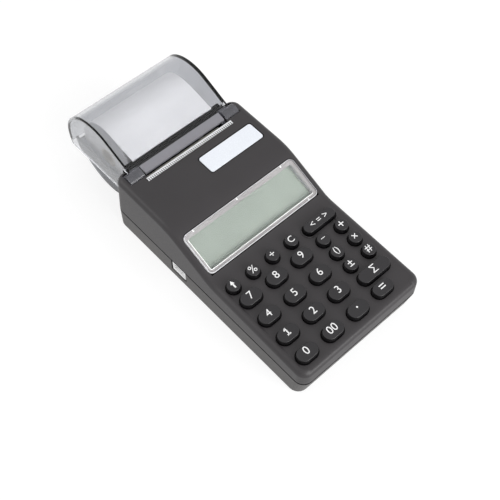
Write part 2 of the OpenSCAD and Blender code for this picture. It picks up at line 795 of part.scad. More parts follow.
function cell_u(i) = bay_front_u + bay_end_gap + cell_pitch * (i + 0.5);
nub = 1;
nub_r = 2.7;

module battery_cells() {
    half = cell_len / 2;
    for (i = [0:cell_count - 1]) mirror([i % 2, 0, 0]) {
        color("#b9832f") bar_x(-half, half - nub, cell_u(i), cell_h, cell_d / 2);
        color("#c9ccd0") bar_x(half - nub - EPS, half, cell_u(i), cell_h, nub_r);
    }
}

contact_half = 5;
module battery_contacts() {
    inner = cell_len / 2 + 0.2;
    outer = bay_x - 0.1;
    color("#c9ccd0") for (i = [0:cell_count - 1]) {
        box_pair(outer - 0.5, outer, cell_u(i) - contact_half, cell_u(i) + contact_half,
            cell_h - contact_half, cell_h + contact_half);
        bar_pair(inner, outer, cell_u(i), cell_h, 1.6);
    }
}

// ================= printer =================

// gear outline with straight-sided teeth, a tooth centred on angle 0
function gear_points(teeth) =
    let(p = 360 / teeth, r = gear_module * teeth / 2)
    [for (i = [0:teeth - 1], c = [[-0.29, -1.25], [-0.12, 0.9], [0.12, 0.9], [0.29, -1.25]])
        let(a = (i + c[0]) * p, q = r + c[1] * gear_module) [q * cos(a), q * sin(a)]];

// a gear at u, z turned so that one tooth points along phase degrees
module gear_at(teeth, u, z, phase, bore) {
    translate([gear_x, fy(u), z]) rotate([90, 0, 90]) rotate(phase) linear_extrude(gear_face) difference() {
        polygon(gear_points(teeth));
        circle(bore, $fn = FN);
    }
}

// the idler's gaps face the platen gear and the pinion
idler_phase = train_angle + 180 + 180 / idler_teeth;
pinion_phase = train_angle + 180 + 180 / pinion_teeth + (idler_teeth % 2 == 0 ? 180 / pinion_teeth : 0);
frame_top_h = platen_h + 3.7;
frame_u0 = motor_u - motor_r - 0.6;
frame_u1 = rear_u(platen_h) - wall - 0.9;
frame_base_h = bay_roof_h + bay_t;
stud_r = 1;
bush_r = platen_shaft_r + 1.2;

module printer_frame() {
    rear_plate_u = frame_u1 - 1.2;
    color("#2b2b2d") difference() {
        union() {
            box(-frame_x - frame_t, frame_x + frame_t, frame_u0, frame_u1, frame_base_h, frame_base_h + 1.2);
            box_pair(frame_x, frame_x + frame_t, frame_u0, frame_u1, frame_base_h, frame_top_h);
            box(-frame_x, frame_x, rear_plate_u, frame_u1, frame_base_h, frame_top_h - 1);
            bar_x(frame_x + frame_t - EPS, gear_x + gear_face + 0.3, idler_u, idler_h, stud_r);
        }
        bar_x(-BIG, BIG, platen_u, platen_h, bush_r + 0.03);
        bar_x(0, BIG, motor_u, motor_h, 2.2);
    }
}

module platen_bushes() {
    color("#b08d4a") difference() {
        bar_pair(frame_x, frame_x + frame_t, platen_u, platen_h, bush_r);
        bar_x(-BIG, BIG, platen_u, platen_h, platen_shaft_r + running_gap);
    }
}

module platen_shaft() {
    color("#b9bcc0")
        bar_x(-frame_x - frame_t - 1, gear_x + gear_face + 0.5, platen_u, platen_h, platen_shaft_r);
}

module platen_roller() {
    color("#1a1a1c") difference() {
        bar_x(-paper_w / 2 - 0.5, paper_w / 2 + 0.5, platen_u, platen_h, platen_r);
        bar_x(-BIG, BIG, platen_u, platen_h, platen_shaft_r + 0.02);
    }
}

module platen_gear() {
    color("#e6e2d6") gear_at(platen_teeth, platen_u, platen_h, train_angle, platen_shaft_r + 0.02);
}

module idler_gear() {
    color("#e6e2d6") gear_at(idler_teeth, idler_u, idler_h, idler_phase, stud_r + running_gap);
}

module motor_pinion() {
    color("#c9a13b") {
        gear_at(pinion_teeth, motor_u, motor_h, pinion_phase, 0.5);
        bar_x(frame_x - 10, gear_x + gear_face, motor_u, motor_h, 0.8);
    }
}

module stepper_motor() {
    color("#a9adb1") difference() {
        bar_x(frame_x - SEAT - motor_len, frame_x, motor_u, motor_h, motor_r);
        bar_x(frame_x - 10.5, BIG, motor_u, motor_h, 0.8 + running_gap);
    }
}

head_u = platen_u + platen_r + 0.15;
head_t = 1.3;
head_spring_inset = 12.5;
head_spring_x = paper_w / 2 - head_spring_inset;
module print_head() {
    color("#d9d4c8") {
        half = paper_w / 2 - 1.5;
        box(-half, half, head_u, head_u + head_t, frame_base_h + 1.2, frame_top_h - 0.5);
    }
}

module head_springs() {
    color("#b9bcc0") for (x = [-head_spring_x, head_spring_x])
        translate([x, fy(head_u + head_t), platen_h]) rotate([-90, 0, 0]) difference() {
            cylinder(h = frame_u1 - 1.2 - head_u - head_t, r = 1.8, $fn = 32);
            translate([0, 0, -1]) cylinder(h = BIG, r = 1.2, $fn = 32);
        }
}

tear_count = floor((tear_w - 1) / tear_pitch);
module tear_bar() {
    color("#c9ccd0") on_face(0, slot_u) {
        difference() {
            translate([-tear_w / 2, -tear_leaf, 0.2 - tear_t]) cube([tear_w, tear_leaf + tear_t, tear_t]);
            translate([0, -tear_leaf, -tear_t]) linear_extrude(2)
                for (i = [0:tear_count - 1]) translate([(i - (tear_count - 1) / 2) * tear_pitch, 0])
                    polygon([[-tear_pitch * 0.4, -0.1], [tear_pitch * 0.4, -0.1], [0, tear_depth]]);
        }
        translate([-flap_half, 0, 0.2 - tear_leg]) cube([2 * flap_half, tear_t, tear_leg - 0.1]);
    }
}

// ================= roll compartment =================

arch = [fy(casing_len + cover_offset), cover_h];
flap_front = [fy(flap_front_u), hinge_h + ear_r - 1.5];
flap_rear = [fy(hinge_u) + neck[0], hinge_h + neck[1]];
arch_way = arch - flap_rear;
arch_far = norm(arch_way);
tangent_a = atan2(arch_way[1], arch_way[0]) + asin(cover_r / arch_far);
tangent_dir = [cos(tangent_a), sin(tangent_a)];
tangent_out = [-sin(tangent_a), cos(tangent_a)];
tangent_end = flap_rear + sqrt(pow(arch_far, 2) - pow(cover_r, 2)) * tangent_dir;
cover_rear_a = -11;                    // where the arch ends at the rear, in degrees
neck_h = wall_top_h + 0.5;

// the plane just behind the casing's rear wall, at height z
function behind(z, gap) = [fy(rear_u(z)) + gap, z];

module arch_ring(r_out, r_in) {
    difference() {
        translate(arch) circle(r_out, $fn = 96);
        translate(arch) circle(r_in, $fn = 96);
    }
}

module cover_skin_2d() {
    intersection() {
        arch_ring(cover_r, cover_r - cover_t);
        translate(arch) polygon(concat([[0, 0]],
            [for (i = [0:8]) let(a = cover_rear_a + (90 + tangent_a - cover_rear_a) * i / 8)
                2 * cover_r * [cos(a), sin(a)]]));
    }
    polygon([flap_rear, tangent_end, tangent_end - cover_t * tangent_out, flap_rear - cover_t * tangent_out]);
}

module cover_flap_2d() {
    polygon([flap_front, flap_rear, flap_rear + tangent_dir, flap_rear + tangent_dir - cover_t * tangent_out,
        flap_rear - [0, cover_t], flap_front - [0, cover_t]]);
}

// the web that joins an ear to the cover
module cover_ear_2d() {
    top = [fy(hinge_u), hinge_h + ear_r];
    polygon([top, flap_rear, flap_rear + tangent_dir - cover_t * tangent_out, top - [0, 2 * cover_t]]);
}

module cover_side_2d() {
    intersection() {
        union() {
            translate(arch) circle(cover_r, $fn = 96);
            polygon([flap_rear, tangent_end, arch, [flap_rear[0], arch[1] - cover_r]]);
        }
        polygon([behind(cover_side_h, 0.8), [arch[0] + BIG, cover_side_h], [arch[0] + BIG, BIG],
            [flap_rear[0], BIG], [flap_rear[0], neck_h], behind(neck_h, 0.8)]);
    }
}

module roll_cover() {
    color("#a6abb5", 0.5) {
        across(-cover_w2, cover_w2) cover_skin_2d();
        across(-flap_half, flap_half) cover_flap_2d();
        across_pair(cover_w2 - cover_t, cover_w2) cover_side_2d();
        across_pair(ear_half, cover_w2) cover_ear_2d();
        bar_pair(ear_half, ear_reach, hinge_u, hinge_h, ear_r);
    }
}

tray_r = cover_r - cover_t - cover_gap;
tray_rim_h = arch[1] + (cover_r - cover_t) * sin(cover_rear_a) - 1.2;
tray_side_h = 24;

module tray_side_2d() {
    intersection() {
        translate(arch) circle(tray_r, $fn = 96);
        polygon([behind(0, 0), [arch[0] + BIG, 0], [arch[0] + BIG, tray_side_h],
            behind(tray_side_h, SEAT), behind(parting_h + 1, SEAT), behind(parting_h, 0)]);
    }
}

module tray_lug_2d() {
    difference() {
        translate([fy(casing_len), tray_screw_h - 4]) square([7, 8]);
        translate(arch) circle(tray_r - tray_t, $fn = 96);
    }
}

module paper_tray() {
    color("#4c4c50", 0.8) difference() {
        union() {
            across(-tray_x, tray_x) intersection() {
                arch_ring(tray_r, tray_r - tray_t);
                translate([fy(casing_len), -BIG]) square([BIG, BIG + tray_rim_h]);
            }
            across_pair(tray_x - tray_t, tray_x) tray_side_2d();
            across_pair(tray_screw_x - tray_lug, tray_screw_x + tray_lug) tray_lug_2d();
        }
        tray_screw_holes();
    }
}

roll_h = arch[1] - (tray_r - tray_t - roll_d / 2) + SEAT;

// a cylinder on the roll's axis, as long as the paper is wide plus grow at each end
module roll_bar(d, grow, facets) {
    half = paper_w / 2 + grow;
    translate([-half, arch[0], roll_h]) rotate([0, 90, 0]) cylinder(h = 2 * half, d = d, $fn = facets);
}

module paper_roll() {
    color("#dededf") difference() {
        roll_bar(roll_d, 0, 128);
        roll_bar(core_d + 0.04, 1, FN);
    }
}

module roll_core() {
    color("#b59a78") difference() {
        roll_bar(core_d, 0, FN);
        roll_bar(core_d - 2 * core_t, 1, FN);
    }
}

upper_casing();
lower_casing();
battery_door();
case_screws();
rubber_feet();
name_plate();
display_window();
lcd_frame();
lcd_glass();
display_board();
keypad_mat();
keypad_board();
main_board();
board_screws();
board_chips();
buzzer();
board_header();
side_connector();
battery_cells();
battery_contacts();
printer_frame();
print_head();
head_springs();
platen_roller();
platen_shaft();
platen_bushes();
platen_gear();
idler_gear();
stepper_motor();
motor_pinion();
tear_bar();
roll_cover();
paper_tray();
paper_roll();
roll_core();
for (k = KEYS) key_cap(k);
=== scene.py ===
# %% [markdown]
# # A hand-held ticket register, finished in Blender
#
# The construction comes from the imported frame: sixty nodes at their real size, each on the body that it
# moves with. This lesson gives them their looks. Each step first says what the piece or finish is on the
# real object and why it is made this way, then makes it. Pieces that the eye rests on, such as the shells,
# the keys and the clear roll cover, are modelled again with finer shapes; the rest keep their solids and
# get a finish.

# %% Load the frame
import json
import math

import bmesh
import bpy
from mathutils import Matrix, Vector

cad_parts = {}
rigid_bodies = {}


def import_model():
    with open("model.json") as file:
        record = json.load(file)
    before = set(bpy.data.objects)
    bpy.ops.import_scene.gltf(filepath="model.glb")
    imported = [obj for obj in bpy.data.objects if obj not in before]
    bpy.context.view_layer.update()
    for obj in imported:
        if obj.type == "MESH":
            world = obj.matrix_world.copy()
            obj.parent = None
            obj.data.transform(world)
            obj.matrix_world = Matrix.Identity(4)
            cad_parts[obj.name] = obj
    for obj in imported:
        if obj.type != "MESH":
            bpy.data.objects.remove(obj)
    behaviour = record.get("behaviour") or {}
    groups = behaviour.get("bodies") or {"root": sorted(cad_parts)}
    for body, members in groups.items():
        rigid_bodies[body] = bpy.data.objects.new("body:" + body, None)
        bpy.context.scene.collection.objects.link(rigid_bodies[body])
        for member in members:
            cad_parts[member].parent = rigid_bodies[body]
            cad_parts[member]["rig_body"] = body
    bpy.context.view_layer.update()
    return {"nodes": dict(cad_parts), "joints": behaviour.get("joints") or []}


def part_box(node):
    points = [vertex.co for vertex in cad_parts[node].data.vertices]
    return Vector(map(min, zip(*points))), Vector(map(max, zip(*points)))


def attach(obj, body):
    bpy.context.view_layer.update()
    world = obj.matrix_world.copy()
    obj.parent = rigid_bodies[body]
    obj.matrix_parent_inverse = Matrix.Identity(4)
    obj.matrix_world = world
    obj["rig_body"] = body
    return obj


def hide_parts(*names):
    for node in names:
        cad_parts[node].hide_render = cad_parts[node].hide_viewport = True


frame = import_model()
nodes = frame["nodes"]

# %% [markdown]
# ## Measures
#
# Blender works in metres here, and the object is drawn in millimetres, so MM turns one into the other.
# Where a size is known from a node of the frame it is read from there. The slopes and blends of the top
# face can't be read from a box, so they are named.

# %% Measures of the casing
MM = 0.001
case_low, case_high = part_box("upper_casing")
case_w = case_high.x - case_low.x
case_len = case_high.y - case_low.y
front_y = case_low.y
parting_z = case_low.z
wall = 2 * MM
corner_r = 6 * MM
edge_r = 3.4 * MM
rear_lean = 3.5 * MM
panel_front_z = 25.3 * MM
keypad_len = 66.5 * MM
panel_tilt = math.radians(2.5)
display_tilt = math.radians(23.5)
top_tilt = math.radians(1.5)
display_face = 26 * MM
front_blend_r = 20 * MM
rear_blend_r = 36 * MM
print("casing", [round(x / MM, 1) for x in (case_w, case_len, parting_z)])

# %% [markdown]
# The top face is a chain of three flats joined by two round blends: the keypad panel, the display face and
# the printer's top. One function gives its height at a distance u from the front end, and one its slope, so
# that all that stands on it takes its place from the same line.

# %% The line of the top face
keypad_end_z = panel_front_z + keypad_len * math.tan(panel_tilt)
hollow_u = keypad_len - front_blend_r * math.sin(panel_tilt)
hollow_z = keypad_end_z + front_blend_r * math.cos(panel_tilt)
face_u = hollow_u + front_blend_r * math.sin(display_tilt)
face_z = hollow_z - front_blend_r * math.cos(display_tilt)
crest_u = face_u + display_face * math.cos(display_tilt)
crest_z = face_z + display_face * math.sin(display_tilt)
round_u = crest_u + rear_blend_r * math.sin(display_tilt)
round_z = crest_z - rear_blend_r * math.cos(display_tilt)
top_u = round_u - rear_blend_r * math.sin(top_tilt)
top_z = round_z + rear_blend_r * math.cos(top_tilt)


def top_height(u):
    """Height of the top face at distance u from the front end."""
    if u < keypad_len:
        return panel_front_z + u * math.tan(panel_tilt)
    if u < face_u:
        return hollow_z - math.sqrt(front_blend_r**2 - (u - hollow_u) ** 2)
    if u < crest_u:
        return face_z + (u - face_u) * math.tan(display_tilt)
    if u < top_u:
        return round_z + math.sqrt(rear_blend_r**2 - (u - round_u) ** 2)
    return top_z + (u - top_u) * math.tan(top_tilt)


def top_slope(u):
    """Slope of the top face at distance u from the front end."""
    if u < keypad_len:
        return panel_tilt
    if u < face_u:
        return math.asin((u - hollow_u) / front_blend_r)
    if u < crest_u:
        return display_tilt
    if u < top_u:
        return math.asin((round_u - u) / rear_blend_r)
    return top_tilt


def on_face(x, u):
    """The place on the top face at x and u, with Z along the face's normal."""
    return Matrix.Translation((x, front_y + u, top_height(u))) @ Matrix.Rotation(top_slope(u), 4, "X")


print("top face rises from", round(panel_front_z / MM, 1), "to", round(top_height(case_len) / MM, 1))

# %% [markdown]
# ## The camera
#
# The register is seen from above its front left corner through a lens of medium length. The camera looks
# straight along its own axis, with no shift and no roll.

# %% Camera
CAMERA_PLACE = Vector((-187.3, -220.5, 432.5)) * MM
CAMERA_AZIMUTH = math.radians(-42.32)
CAMERA_ELEVATION = math.radians(57.39)


def stand(name, data, place, direction):
    """Stands a camera or a lamp in the scene, facing a direction."""
    holder = bpy.data.objects.new(name, data)
    bpy.context.scene.collection.objects.link(holder)
    holder.location = place
    holder.rotation_mode = "QUATERNION"
    holder.rotation_quaternion = direction.to_track_quat("-Z", "Y")
    return holder


camera_data = bpy.data.cameras.new("camera")
camera_data.lens = 64.8
camera_data.sensor_width = 36
camera_data.clip_start = 0.01
camera_data.clip_end = 20
back = Vector((math.sin(CAMERA_AZIMUTH) * math.cos(CAMERA_ELEVATION),
               -math.cos(CAMERA_AZIMUTH) * math.cos(CAMERA_ELEVATION),
               math.sin(CAMERA_ELEVATION)))
bpy.context.scene.camera = stand("camera", camera_data, CAMERA_PLACE, -back)
print("camera lens", camera_data.lens)

# %% [markdown]
# ## Floor, backdrop and light
#
# The register stands on a plain white floor in soft studio light. More lamps would make the background
# white but wash out the plastic. So the world and the floor are white only to the rays that see them as a
# background: those of the camera, of glossy surfaces and of clear ones. To all other rays the world gives a
# weaker, even light, and the floor is a plain pale surface. It keeps a soft shadow.

# %% World
WORLD_LIGHT = 0.62


def link(tree, source, target):
    """Joins an output to an input."""
    tree.links.new(source, target)


def background_rays(tree):
    """One for a ray that sees the background straight, in gloss or through clear plastic, else nought."""
    path = tree.nodes.new("ShaderNodeLightPath")
    found = path.outputs["Is Camera Ray"]
    for kind in ("Is Glossy Ray", "Is Transmission Ray"):
        either = tree.nodes.new("ShaderNodeMath")
        either.operation = "MAXIMUM"
        link(tree, found, either.inputs[0])
        link(tree, path.outputs[kind], either.inputs[1])
        found = either.outputs[0]
    return found


world = bpy.data.worlds.new("studio")
bpy.context.scene.world = world
world.use_nodes = True
tree = world.node_tree
tree.nodes.clear()
blend = tree.nodes.new("ShaderNodeMixShader")
link(tree, background_rays(tree), blend.inputs["Fac"])
for place, strength in ((1, WORLD_LIGHT), (2, 1)):
    light = tree.nodes.new("ShaderNodeBackground")
    light.inputs["Color"].default_value = (1, 1, 1, 1)
    light.inputs["Strength"].default_value = strength
    link(tree, light.outputs[0], blend.inputs[place])
link(tree, blend.outputs[0], tree.nodes.new("ShaderNodeOutputWorld").inputs["Surface"])
print("world light", WORLD_LIGHT)

# %% Floor
FLOOR_SIZE = 6
FLOOR_GLOW = 0.78
FLOOR_PALE = 0.82
FLOOR_SEEN_PALE = 0.27
bpy.ops.mesh.primitive_plane_add(size=FLOOR_SIZE)
floor = bpy.context.object
floor.name = "floor"
floor_finish = bpy.data.materials.new("white_floor")
floor_finish.use_nodes = True
tree = floor_finish.node_tree
shader = tree.nodes["Principled BSDF"]
shader.inputs["Roughness"].default_value = 0.9
shader.inputs["Specular IOR Level"].default_value = 0.1
shader.inputs["Emission Color"].default_value = (1, 1, 1, 1)
for socket, to_others, to_background in (("Emission Strength", 0, FLOOR_GLOW),
                                         ("Base Color", FLOOR_PALE, FLOOR_SEEN_PALE)):
    switch = tree.nodes.new("ShaderNodeMapRange")
    switch.inputs["To Min"].default_value = to_others
    switch.inputs["To Max"].default_value = to_background
    link(tree, background_rays(tree), switch.inputs["Value"])
    link(tree, switch.outputs["Result"], shader.inputs[socket])
floor.data.materials.append(floor_finish)
print("floor", FLOOR_SIZE, "m across")

# %% Lamps
AIM = Vector((0, 0, 0.03))


def soft_box(name, place, size, watts):
    """A square lamp that faces the register."""
    lamp = bpy.data.lights.new(name, "AREA")
    lamp.shape = "SQUARE"
    lamp.size = size
    lamp.energy = watts
    stand(name, lamp, place, AIM - Vector(place))


soft_box("front_lamp", place=(0.1, -0.9, 0.45), size=0.7, watts=8)
soft_box("rear_lamp", place=(-0.75, 0.95, 1.0), size=0.8, watts=4.5)
bpy.context.scene.view_settings.view_transform = "Standard"

# %% [markdown]
# ## Effects shared by the finishes
#
# Moulded plastic has a fine, even grain from the sparked mould and a slow drift in gloss. Metal has brushed
# lines. Each effect is a node group with named inputs, built once and placed in every material with its own
# values. The groups read object coordinates, in metres, so a pattern keeps its real size on every piece.

# %% The grain group
GRAIN_SCALE = 1800
DRIFT_SCALE = 25
CELL_SHARE = 0.5


def new_group(name, inputs, outputs):
    """An empty node group with float inputs and outputs, and its inner input and output nodes."""
    group = bpy.data.node_groups.new(name, "ShaderNodeTree")
    for label, value in inputs:
        socket = group.interface.new_socket(label, in_out="INPUT", socket_type="NodeSocketFloat")
        socket.default_value = value
    for label in outputs:
        group.interface.new_socket(label, in_out="OUTPUT", socket_type="NodeSocketFloat")
    return group, group.nodes.new("NodeGroupInput"), group.nodes.new("NodeGroupOutput")


def add_noise(group, coordinate, scale, detail):
    """A Noise node on a coordinate, its scale a number or a socket."""
    node = group.nodes.new("ShaderNodeTexNoise")
    link(group, coordinate, node.inputs["Vector"])
    if isinstance(scale, (int, float)):
        node.inputs["Scale"].default_value = scale
    else:
        link(group, scale, node.inputs["Scale"])
    node.inputs["Detail"].default_value = detail
    return node.outputs["Fac"]


grain, put_in, put_out = new_group(
    "moulded_grain", [("Grain Scale", GRAIN_SCALE), ("Drift Scale", DRIFT_SCALE)],
    ["Height", "Speck", "Drift"])
where = grain.nodes.new("ShaderNodeTexCoord").outputs["Object"]
fine = add_noise(grain, where, put_in.outputs["Grain Scale"], detail=3)
cells = grain.nodes.new("ShaderNodeTexVoronoi")
link(grain, where, cells.inputs["Vector"])
link(grain, put_in.outputs["Grain Scale"], cells.inputs["Scale"])
height = grain.nodes.new("ShaderNodeMath")
height.operation = "MULTIPLY_ADD"
height.inputs[1].default_value = CELL_SHARE
link(grain, cells.outputs["Distance"], height.inputs[0])
link(grain, fine, height.inputs[2])
link(grain, height.outputs[0], put_out.inputs["Height"])
link(grain, fine, put_out.inputs["Speck"])
link(grain, add_noise(grain, where, put_in.outputs["Drift Scale"], detail=4), put_out.inputs["Drift"])
print("group", grain.name)

# %% The brushed group
LINE_SCALE = 900
LINE_STRETCH = 0.03
SMUDGE_SCALE = 60
brushed, put_in, put_out = new_group(
    "brushed_lines", [("Line Scale", LINE_SCALE), ("Stretch", LINE_STRETCH)], ["Height", "Drift"])
where = brushed.nodes.new("ShaderNodeTexCoord").outputs["Object"]
squeeze = brushed.nodes.new("ShaderNodeCombineXYZ")
link(brushed, put_in.outputs["Stretch"], squeeze.inputs["X"])
squeeze.inputs["Y"].default_value = 1
squeeze.inputs["Z"].default_value = 1
lines = brushed.nodes.new("ShaderNodeVectorMath")
lines.operation = "MULTIPLY"
link(brushed, where, lines.inputs[0])
link(brushed, squeeze.outputs[0], lines.inputs[1])
streaks = add_noise(brushed, lines.outputs[0], put_in.outputs["Line Scale"], detail=4)
link(brushed, streaks, put_out.inputs["Height"])
link(brushed, add_noise(brushed, where, SMUDGE_SCALE, detail=3), put_out.inputs["Drift"])
print("group", brushed.name)

# %% [markdown]
# A finish is put together from a few steps: a shared effect with its own values, a colour that drifts
# between two shades of one tone, a roughness that drifts too, and a bump. A noise rarely reaches nought or
# one, so its middle is spread over the whole range first.

# %% Steps of a finish
NOISE_LOW = 0.3
NOISE_HIGH = 0.7


def colour(red, green, blue):
    """A screen colour of 0 to 255, as the linear colour that Blender mixes with."""
    def linear(value):
        share = value / 255
        return share / 12.92 if share <= 0.04045 else ((share + 0.055) / 1.055) ** 2.4
    return (linear(red), linear(green), linear(blue), 1)


def new_finish(name):
    """A material with its Principled shader, and its tree."""
    finish = bpy.data.materials.new(name)
    finish.use_nodes = True
    return finish, finish.node_tree, finish.node_tree.nodes["Principled BSDF"]


def add_group(tree, group, **values):
    """Places a shared effect in a material with its own values."""
    node = tree.nodes.new("ShaderNodeGroup")
    node.node_tree = group
    for label, value in values.items():
        node.inputs[label.replace("_", " ")].default_value = value
    return node


def add_mix(tree, factor, first, second):
    """A colour between two, by a factor that changes over the surface."""
    node = tree.nodes.new("ShaderNodeMix")
    node.data_type = "RGBA"
    link(tree, factor, node.inputs["Factor"])
    for label, value in (("A", first), ("B", second)):
        next(s for s in node.inputs if s.name == label and s.type == "RGBA").default_value = value
    return next(s for s in node.outputs if s.type == "RGBA")


def add_range(tree, noise, low, high):
    """Spreads the middle of a noise over the range from low to high."""
    node = tree.nodes.new("ShaderNodeMapRange")
    link(tree, noise, node.inputs["Value"])
    node.inputs["From Min"].default_value = NOISE_LOW
    node.inputs["From Max"].default_value = NOISE_HIGH
    node.inputs["To Min"].default_value = low
    node.inputs["To Max"].default_value = high
    return node.outputs["Result"]


def drift_tone(tree, shader, noise, tone, low, high):
    """Lets the base colour drift between two shades of a tone."""
    levels = colour(*tone)[:3]
    dark, light = (tuple(min(1, level * shade) for level in levels) + (1,) for shade in (low, high))
    link(tree, add_mix(tree, add_range(tree, noise, 0, 1), dark, light), shader.inputs["Base Color"])


def drift_gloss(tree, shader, noise, low, high):
    """Lets the roughness drift between two values."""
    link(tree, add_range(tree, noise, low, high), shader.inputs["Roughness"])


def add_bump(tree, shader, height, depth):
    """Raises a height by depth, in metres, in the shader's normal."""
    node = tree.nodes.new("ShaderNodeBump")
    node.inputs["Strength"].default_value = 1
    node.inputs["Distance"].default_value = depth
    link(tree, height, node.inputs["Height"])
    link(tree, node.outputs["Normal"], shader.inputs["Normal"])


print("steps of a finish ready")

# %% Kinds of finish
METAL_DEPTH = 0.006 * MM
CLEAR_DEPTH = 0.002 * MM
CLEAR_IOR = 1.35
LAMP_TINT = 0.25


def moulded(name, tone, rough, grain_scale=GRAIN_SCALE, depth=0.012 * MM, tint=0.12, drift=DRIFT_SCALE):
    """Moulded plastic: a grain, a slow drift in gloss and a slight drift in tone."""
    finish, tree, shader = new_finish(name)
    effect = add_group(tree, grain, Grain_Scale=grain_scale, Drift_Scale=drift)
    drift_tone(tree, shader, effect.outputs["Drift"], tone, 1 - tint, 1 + tint)
    drift_gloss(tree, shader, effect.outputs["Speck"], rough - 0.04, rough + 0.06)
    add_bump(tree, shader, effect.outputs["Height"], depth)
    return finish


def metal(name, tone, rough, scale=LINE_SCALE):
    """Metal with brushed lines that run along X."""
    finish, tree, shader = new_finish(name)
    effect = add_group(tree, brushed, Line_Scale=scale, Stretch=LINE_STRETCH)
    shader.inputs["Metallic"].default_value = 1
    drift_tone(tree, shader, effect.outputs["Drift"], tone, 0.8, 1)
    drift_gloss(tree, shader, effect.outputs["Height"], rough - 0.06, rough + 0.1)
    add_bump(tree, shader, effect.outputs["Height"], METAL_DEPTH)
    return finish


def clear(name, tone, rough, clearness=1):
    """Clear plastic that lets lamp light through, or hazy plastic if its clearness is low."""
    finish, tree, shader = new_finish(name)
    effect = add_group(tree, grain, Grain_Scale=300, Drift_Scale=30)
    drift_tone(tree, shader, effect.outputs["Drift"], tone, 0.94, 1)
    drift_gloss(tree, shader, effect.outputs["Drift"], rough, rough + 0.04)
    shader.inputs["Transmission Weight"].default_value = clearness
    shader.inputs["IOR"].default_value = CLEAR_IOR
    add_bump(tree, shader, effect.outputs["Speck"], CLEAR_DEPTH)
    lamp_rays = tree.nodes.new("ShaderNodeBsdfTransparent")
    lamp_rays.inputs["Color"].default_value = colour(*(255 - LAMP_TINT * (255 - level) for level in tone))
    path = tree.nodes.new("ShaderNodeLightPath")
    choose = tree.nodes.new("ShaderNodeMixShader")
    link(tree, path.outputs["Is Shadow Ray"], choose.inputs["Fac"])
    link(tree, shader.outputs[0], choose.inputs[1])
    link(tree, lamp_rays.outputs[0], choose.inputs[2])
    link(tree, choose.outputs[0], tree.nodes["Material Output"].inputs["Surface"])
    return finish


print("kinds of finish: moulded, metal and clear")

# %% [markdown]
# ## The finishes
#
# Both shells are charcoal plastic with a matt spark-eroded grain, and the keys a darker one. The cover is
# smoked clear plastic. The rest are the plain materials of such a device: metal, rubber, boards, paper.
# Narrow gaps swallow the light, so what lines them gets a painted shade, a black without any shine.

# %% Plastics
upper_plastic = moulded("charcoal_plastic_upper", (43, 40, 42), 0.46)
lower_plastic = moulded("charcoal_plastic_lower", (74, 72, 71), 0.5)
key_plastic = moulded("key_plastic", (25, 23, 26), 0.42, grain_scale=2400, depth=0.008 * MM)
# Painted shade for the keys' sides: darker than the tops
key_side_painted_shade = moulded("key_side_painted_shade", (8, 7, 9), 0.3, grain_scale=2400, depth=0.004 * MM)
port_white = moulded("port_white", (253, 253, 253), 0.3, depth=0.002 * MM, tint=0.01)
# Painted highlight for the round edges of the cover's flap and ears
cover_painted_highlight = moulded("cover_painted_highlight", (206, 206, 211), 0.15, depth=0.001 * MM, tint=0.02)
# Painted shade: a black without shine for gaps and bands that are only in shade
painted_shade_black = moulded("painted_shade_black", (6, 6, 7), 0.9, tint=0.03)
painted_shade_black.node_tree.nodes["Principled BSDF"].inputs["Specular IOR Level"].default_value = 0
# White of the legends and catches, and also the painted highlight line of the display
legend_white_and_painted_highlight = moulded("legend_white_and_painted_highlight", (240, 240, 240), 0.5, depth=0.003 * MM, tint=0.03)
border_grey = moulded("border_grey", (152, 148, 150), 0.35, depth=0.004 * MM, tint=0.05)
# Painted highlight for the lens's rim
lens_rim_painted_highlight = moulded("lens_rim_painted_highlight", (226, 226, 230), 0.2, depth=0.002 * MM, tint=0.04)
frame_black = moulded("frame_black", (43, 43, 45), 0.5)
frame_grey = moulded("frame_grey", (176, 176, 178), 0.5, depth=0.005 * MM)
plate_white = moulded("plate_white", (238, 242, 249), 0.25, depth=0.002 * MM, tint=0.02)
gear_cream = moulded("gear_cream", (230, 226, 214), 0.4, tint=0.05)
chip_black = moulded("chip_black", (34, 33, 35), 0.45)
rubber = moulded("rubber_black", (30, 30, 31), 0.75, grain_scale=1200, depth=0.03 * MM)
mat_rubber = moulded("rubber_grey", (62, 65, 70), 0.7)
board_green = moulded("board_green", (40, 98, 56), 0.35, grain_scale=700, tint=0.2)
cell_wrap = moulded("cell_wrap", (184, 131, 47), 0.3, tint=0.08)
head_ceramic = moulded("head_ceramic", (217, 212, 200), 0.35)
card_brown = moulded("card_brown", (204, 197, 186), 0.85, grain_scale=600, depth=0.03 * MM)
paper_white = moulded("paper_white", (250, 249, 248), 0.75, grain_scale=900, depth=0.008 * MM, tint=0.01)
lcd_glass = moulded("lcd_glass", (142, 150, 143), 0.22, depth=0.0004 * MM, tint=0.03, drift=12)
print("plastics made")

# %% Metals
bright_steel = metal("bright_steel", (205, 207, 210), 0.26)
tear_steel = metal("tear_steel", (246, 247, 249), 0.3, scale=1500)
screw_steel = metal("screw_steel", (150, 152, 155), 0.35)
contact_metal = metal("contact_metal", (214, 214, 210), 0.25)
bush_brass = metal("bush_brass", (190, 150, 80), 0.3)
motor_steel = metal("motor_steel", (170, 174, 178), 0.34)
print("metals made")

# %% Clear plastics
lens_clear = clear("lens_clear", (252, 253, 252), 0.03)
cover_smoke = clear("cover_smoke", (218, 219, 222), 0.04)
cover_flap = clear("cover_flap", (164, 163, 169), 0.3, clearness=0.45)
cover_ear = clear("cover_ear", (160, 160, 167), 0.08, clearness=0.75)
# Painted shade for the ends of the cover's roof, where one looks along the clear wall
cover_edge_painted_shade = clear("cover_edge_painted_shade", (40, 42, 50), 0.1)
tray_smoke = clear("tray_smoke", (120, 124, 130), 0.12)
print("clear plastics made")

# %% [markdown]
# ## Finishes for the nodes that stay
#
# Every node of the frame gets its finish here. A piece that is modelled again later hides its node.

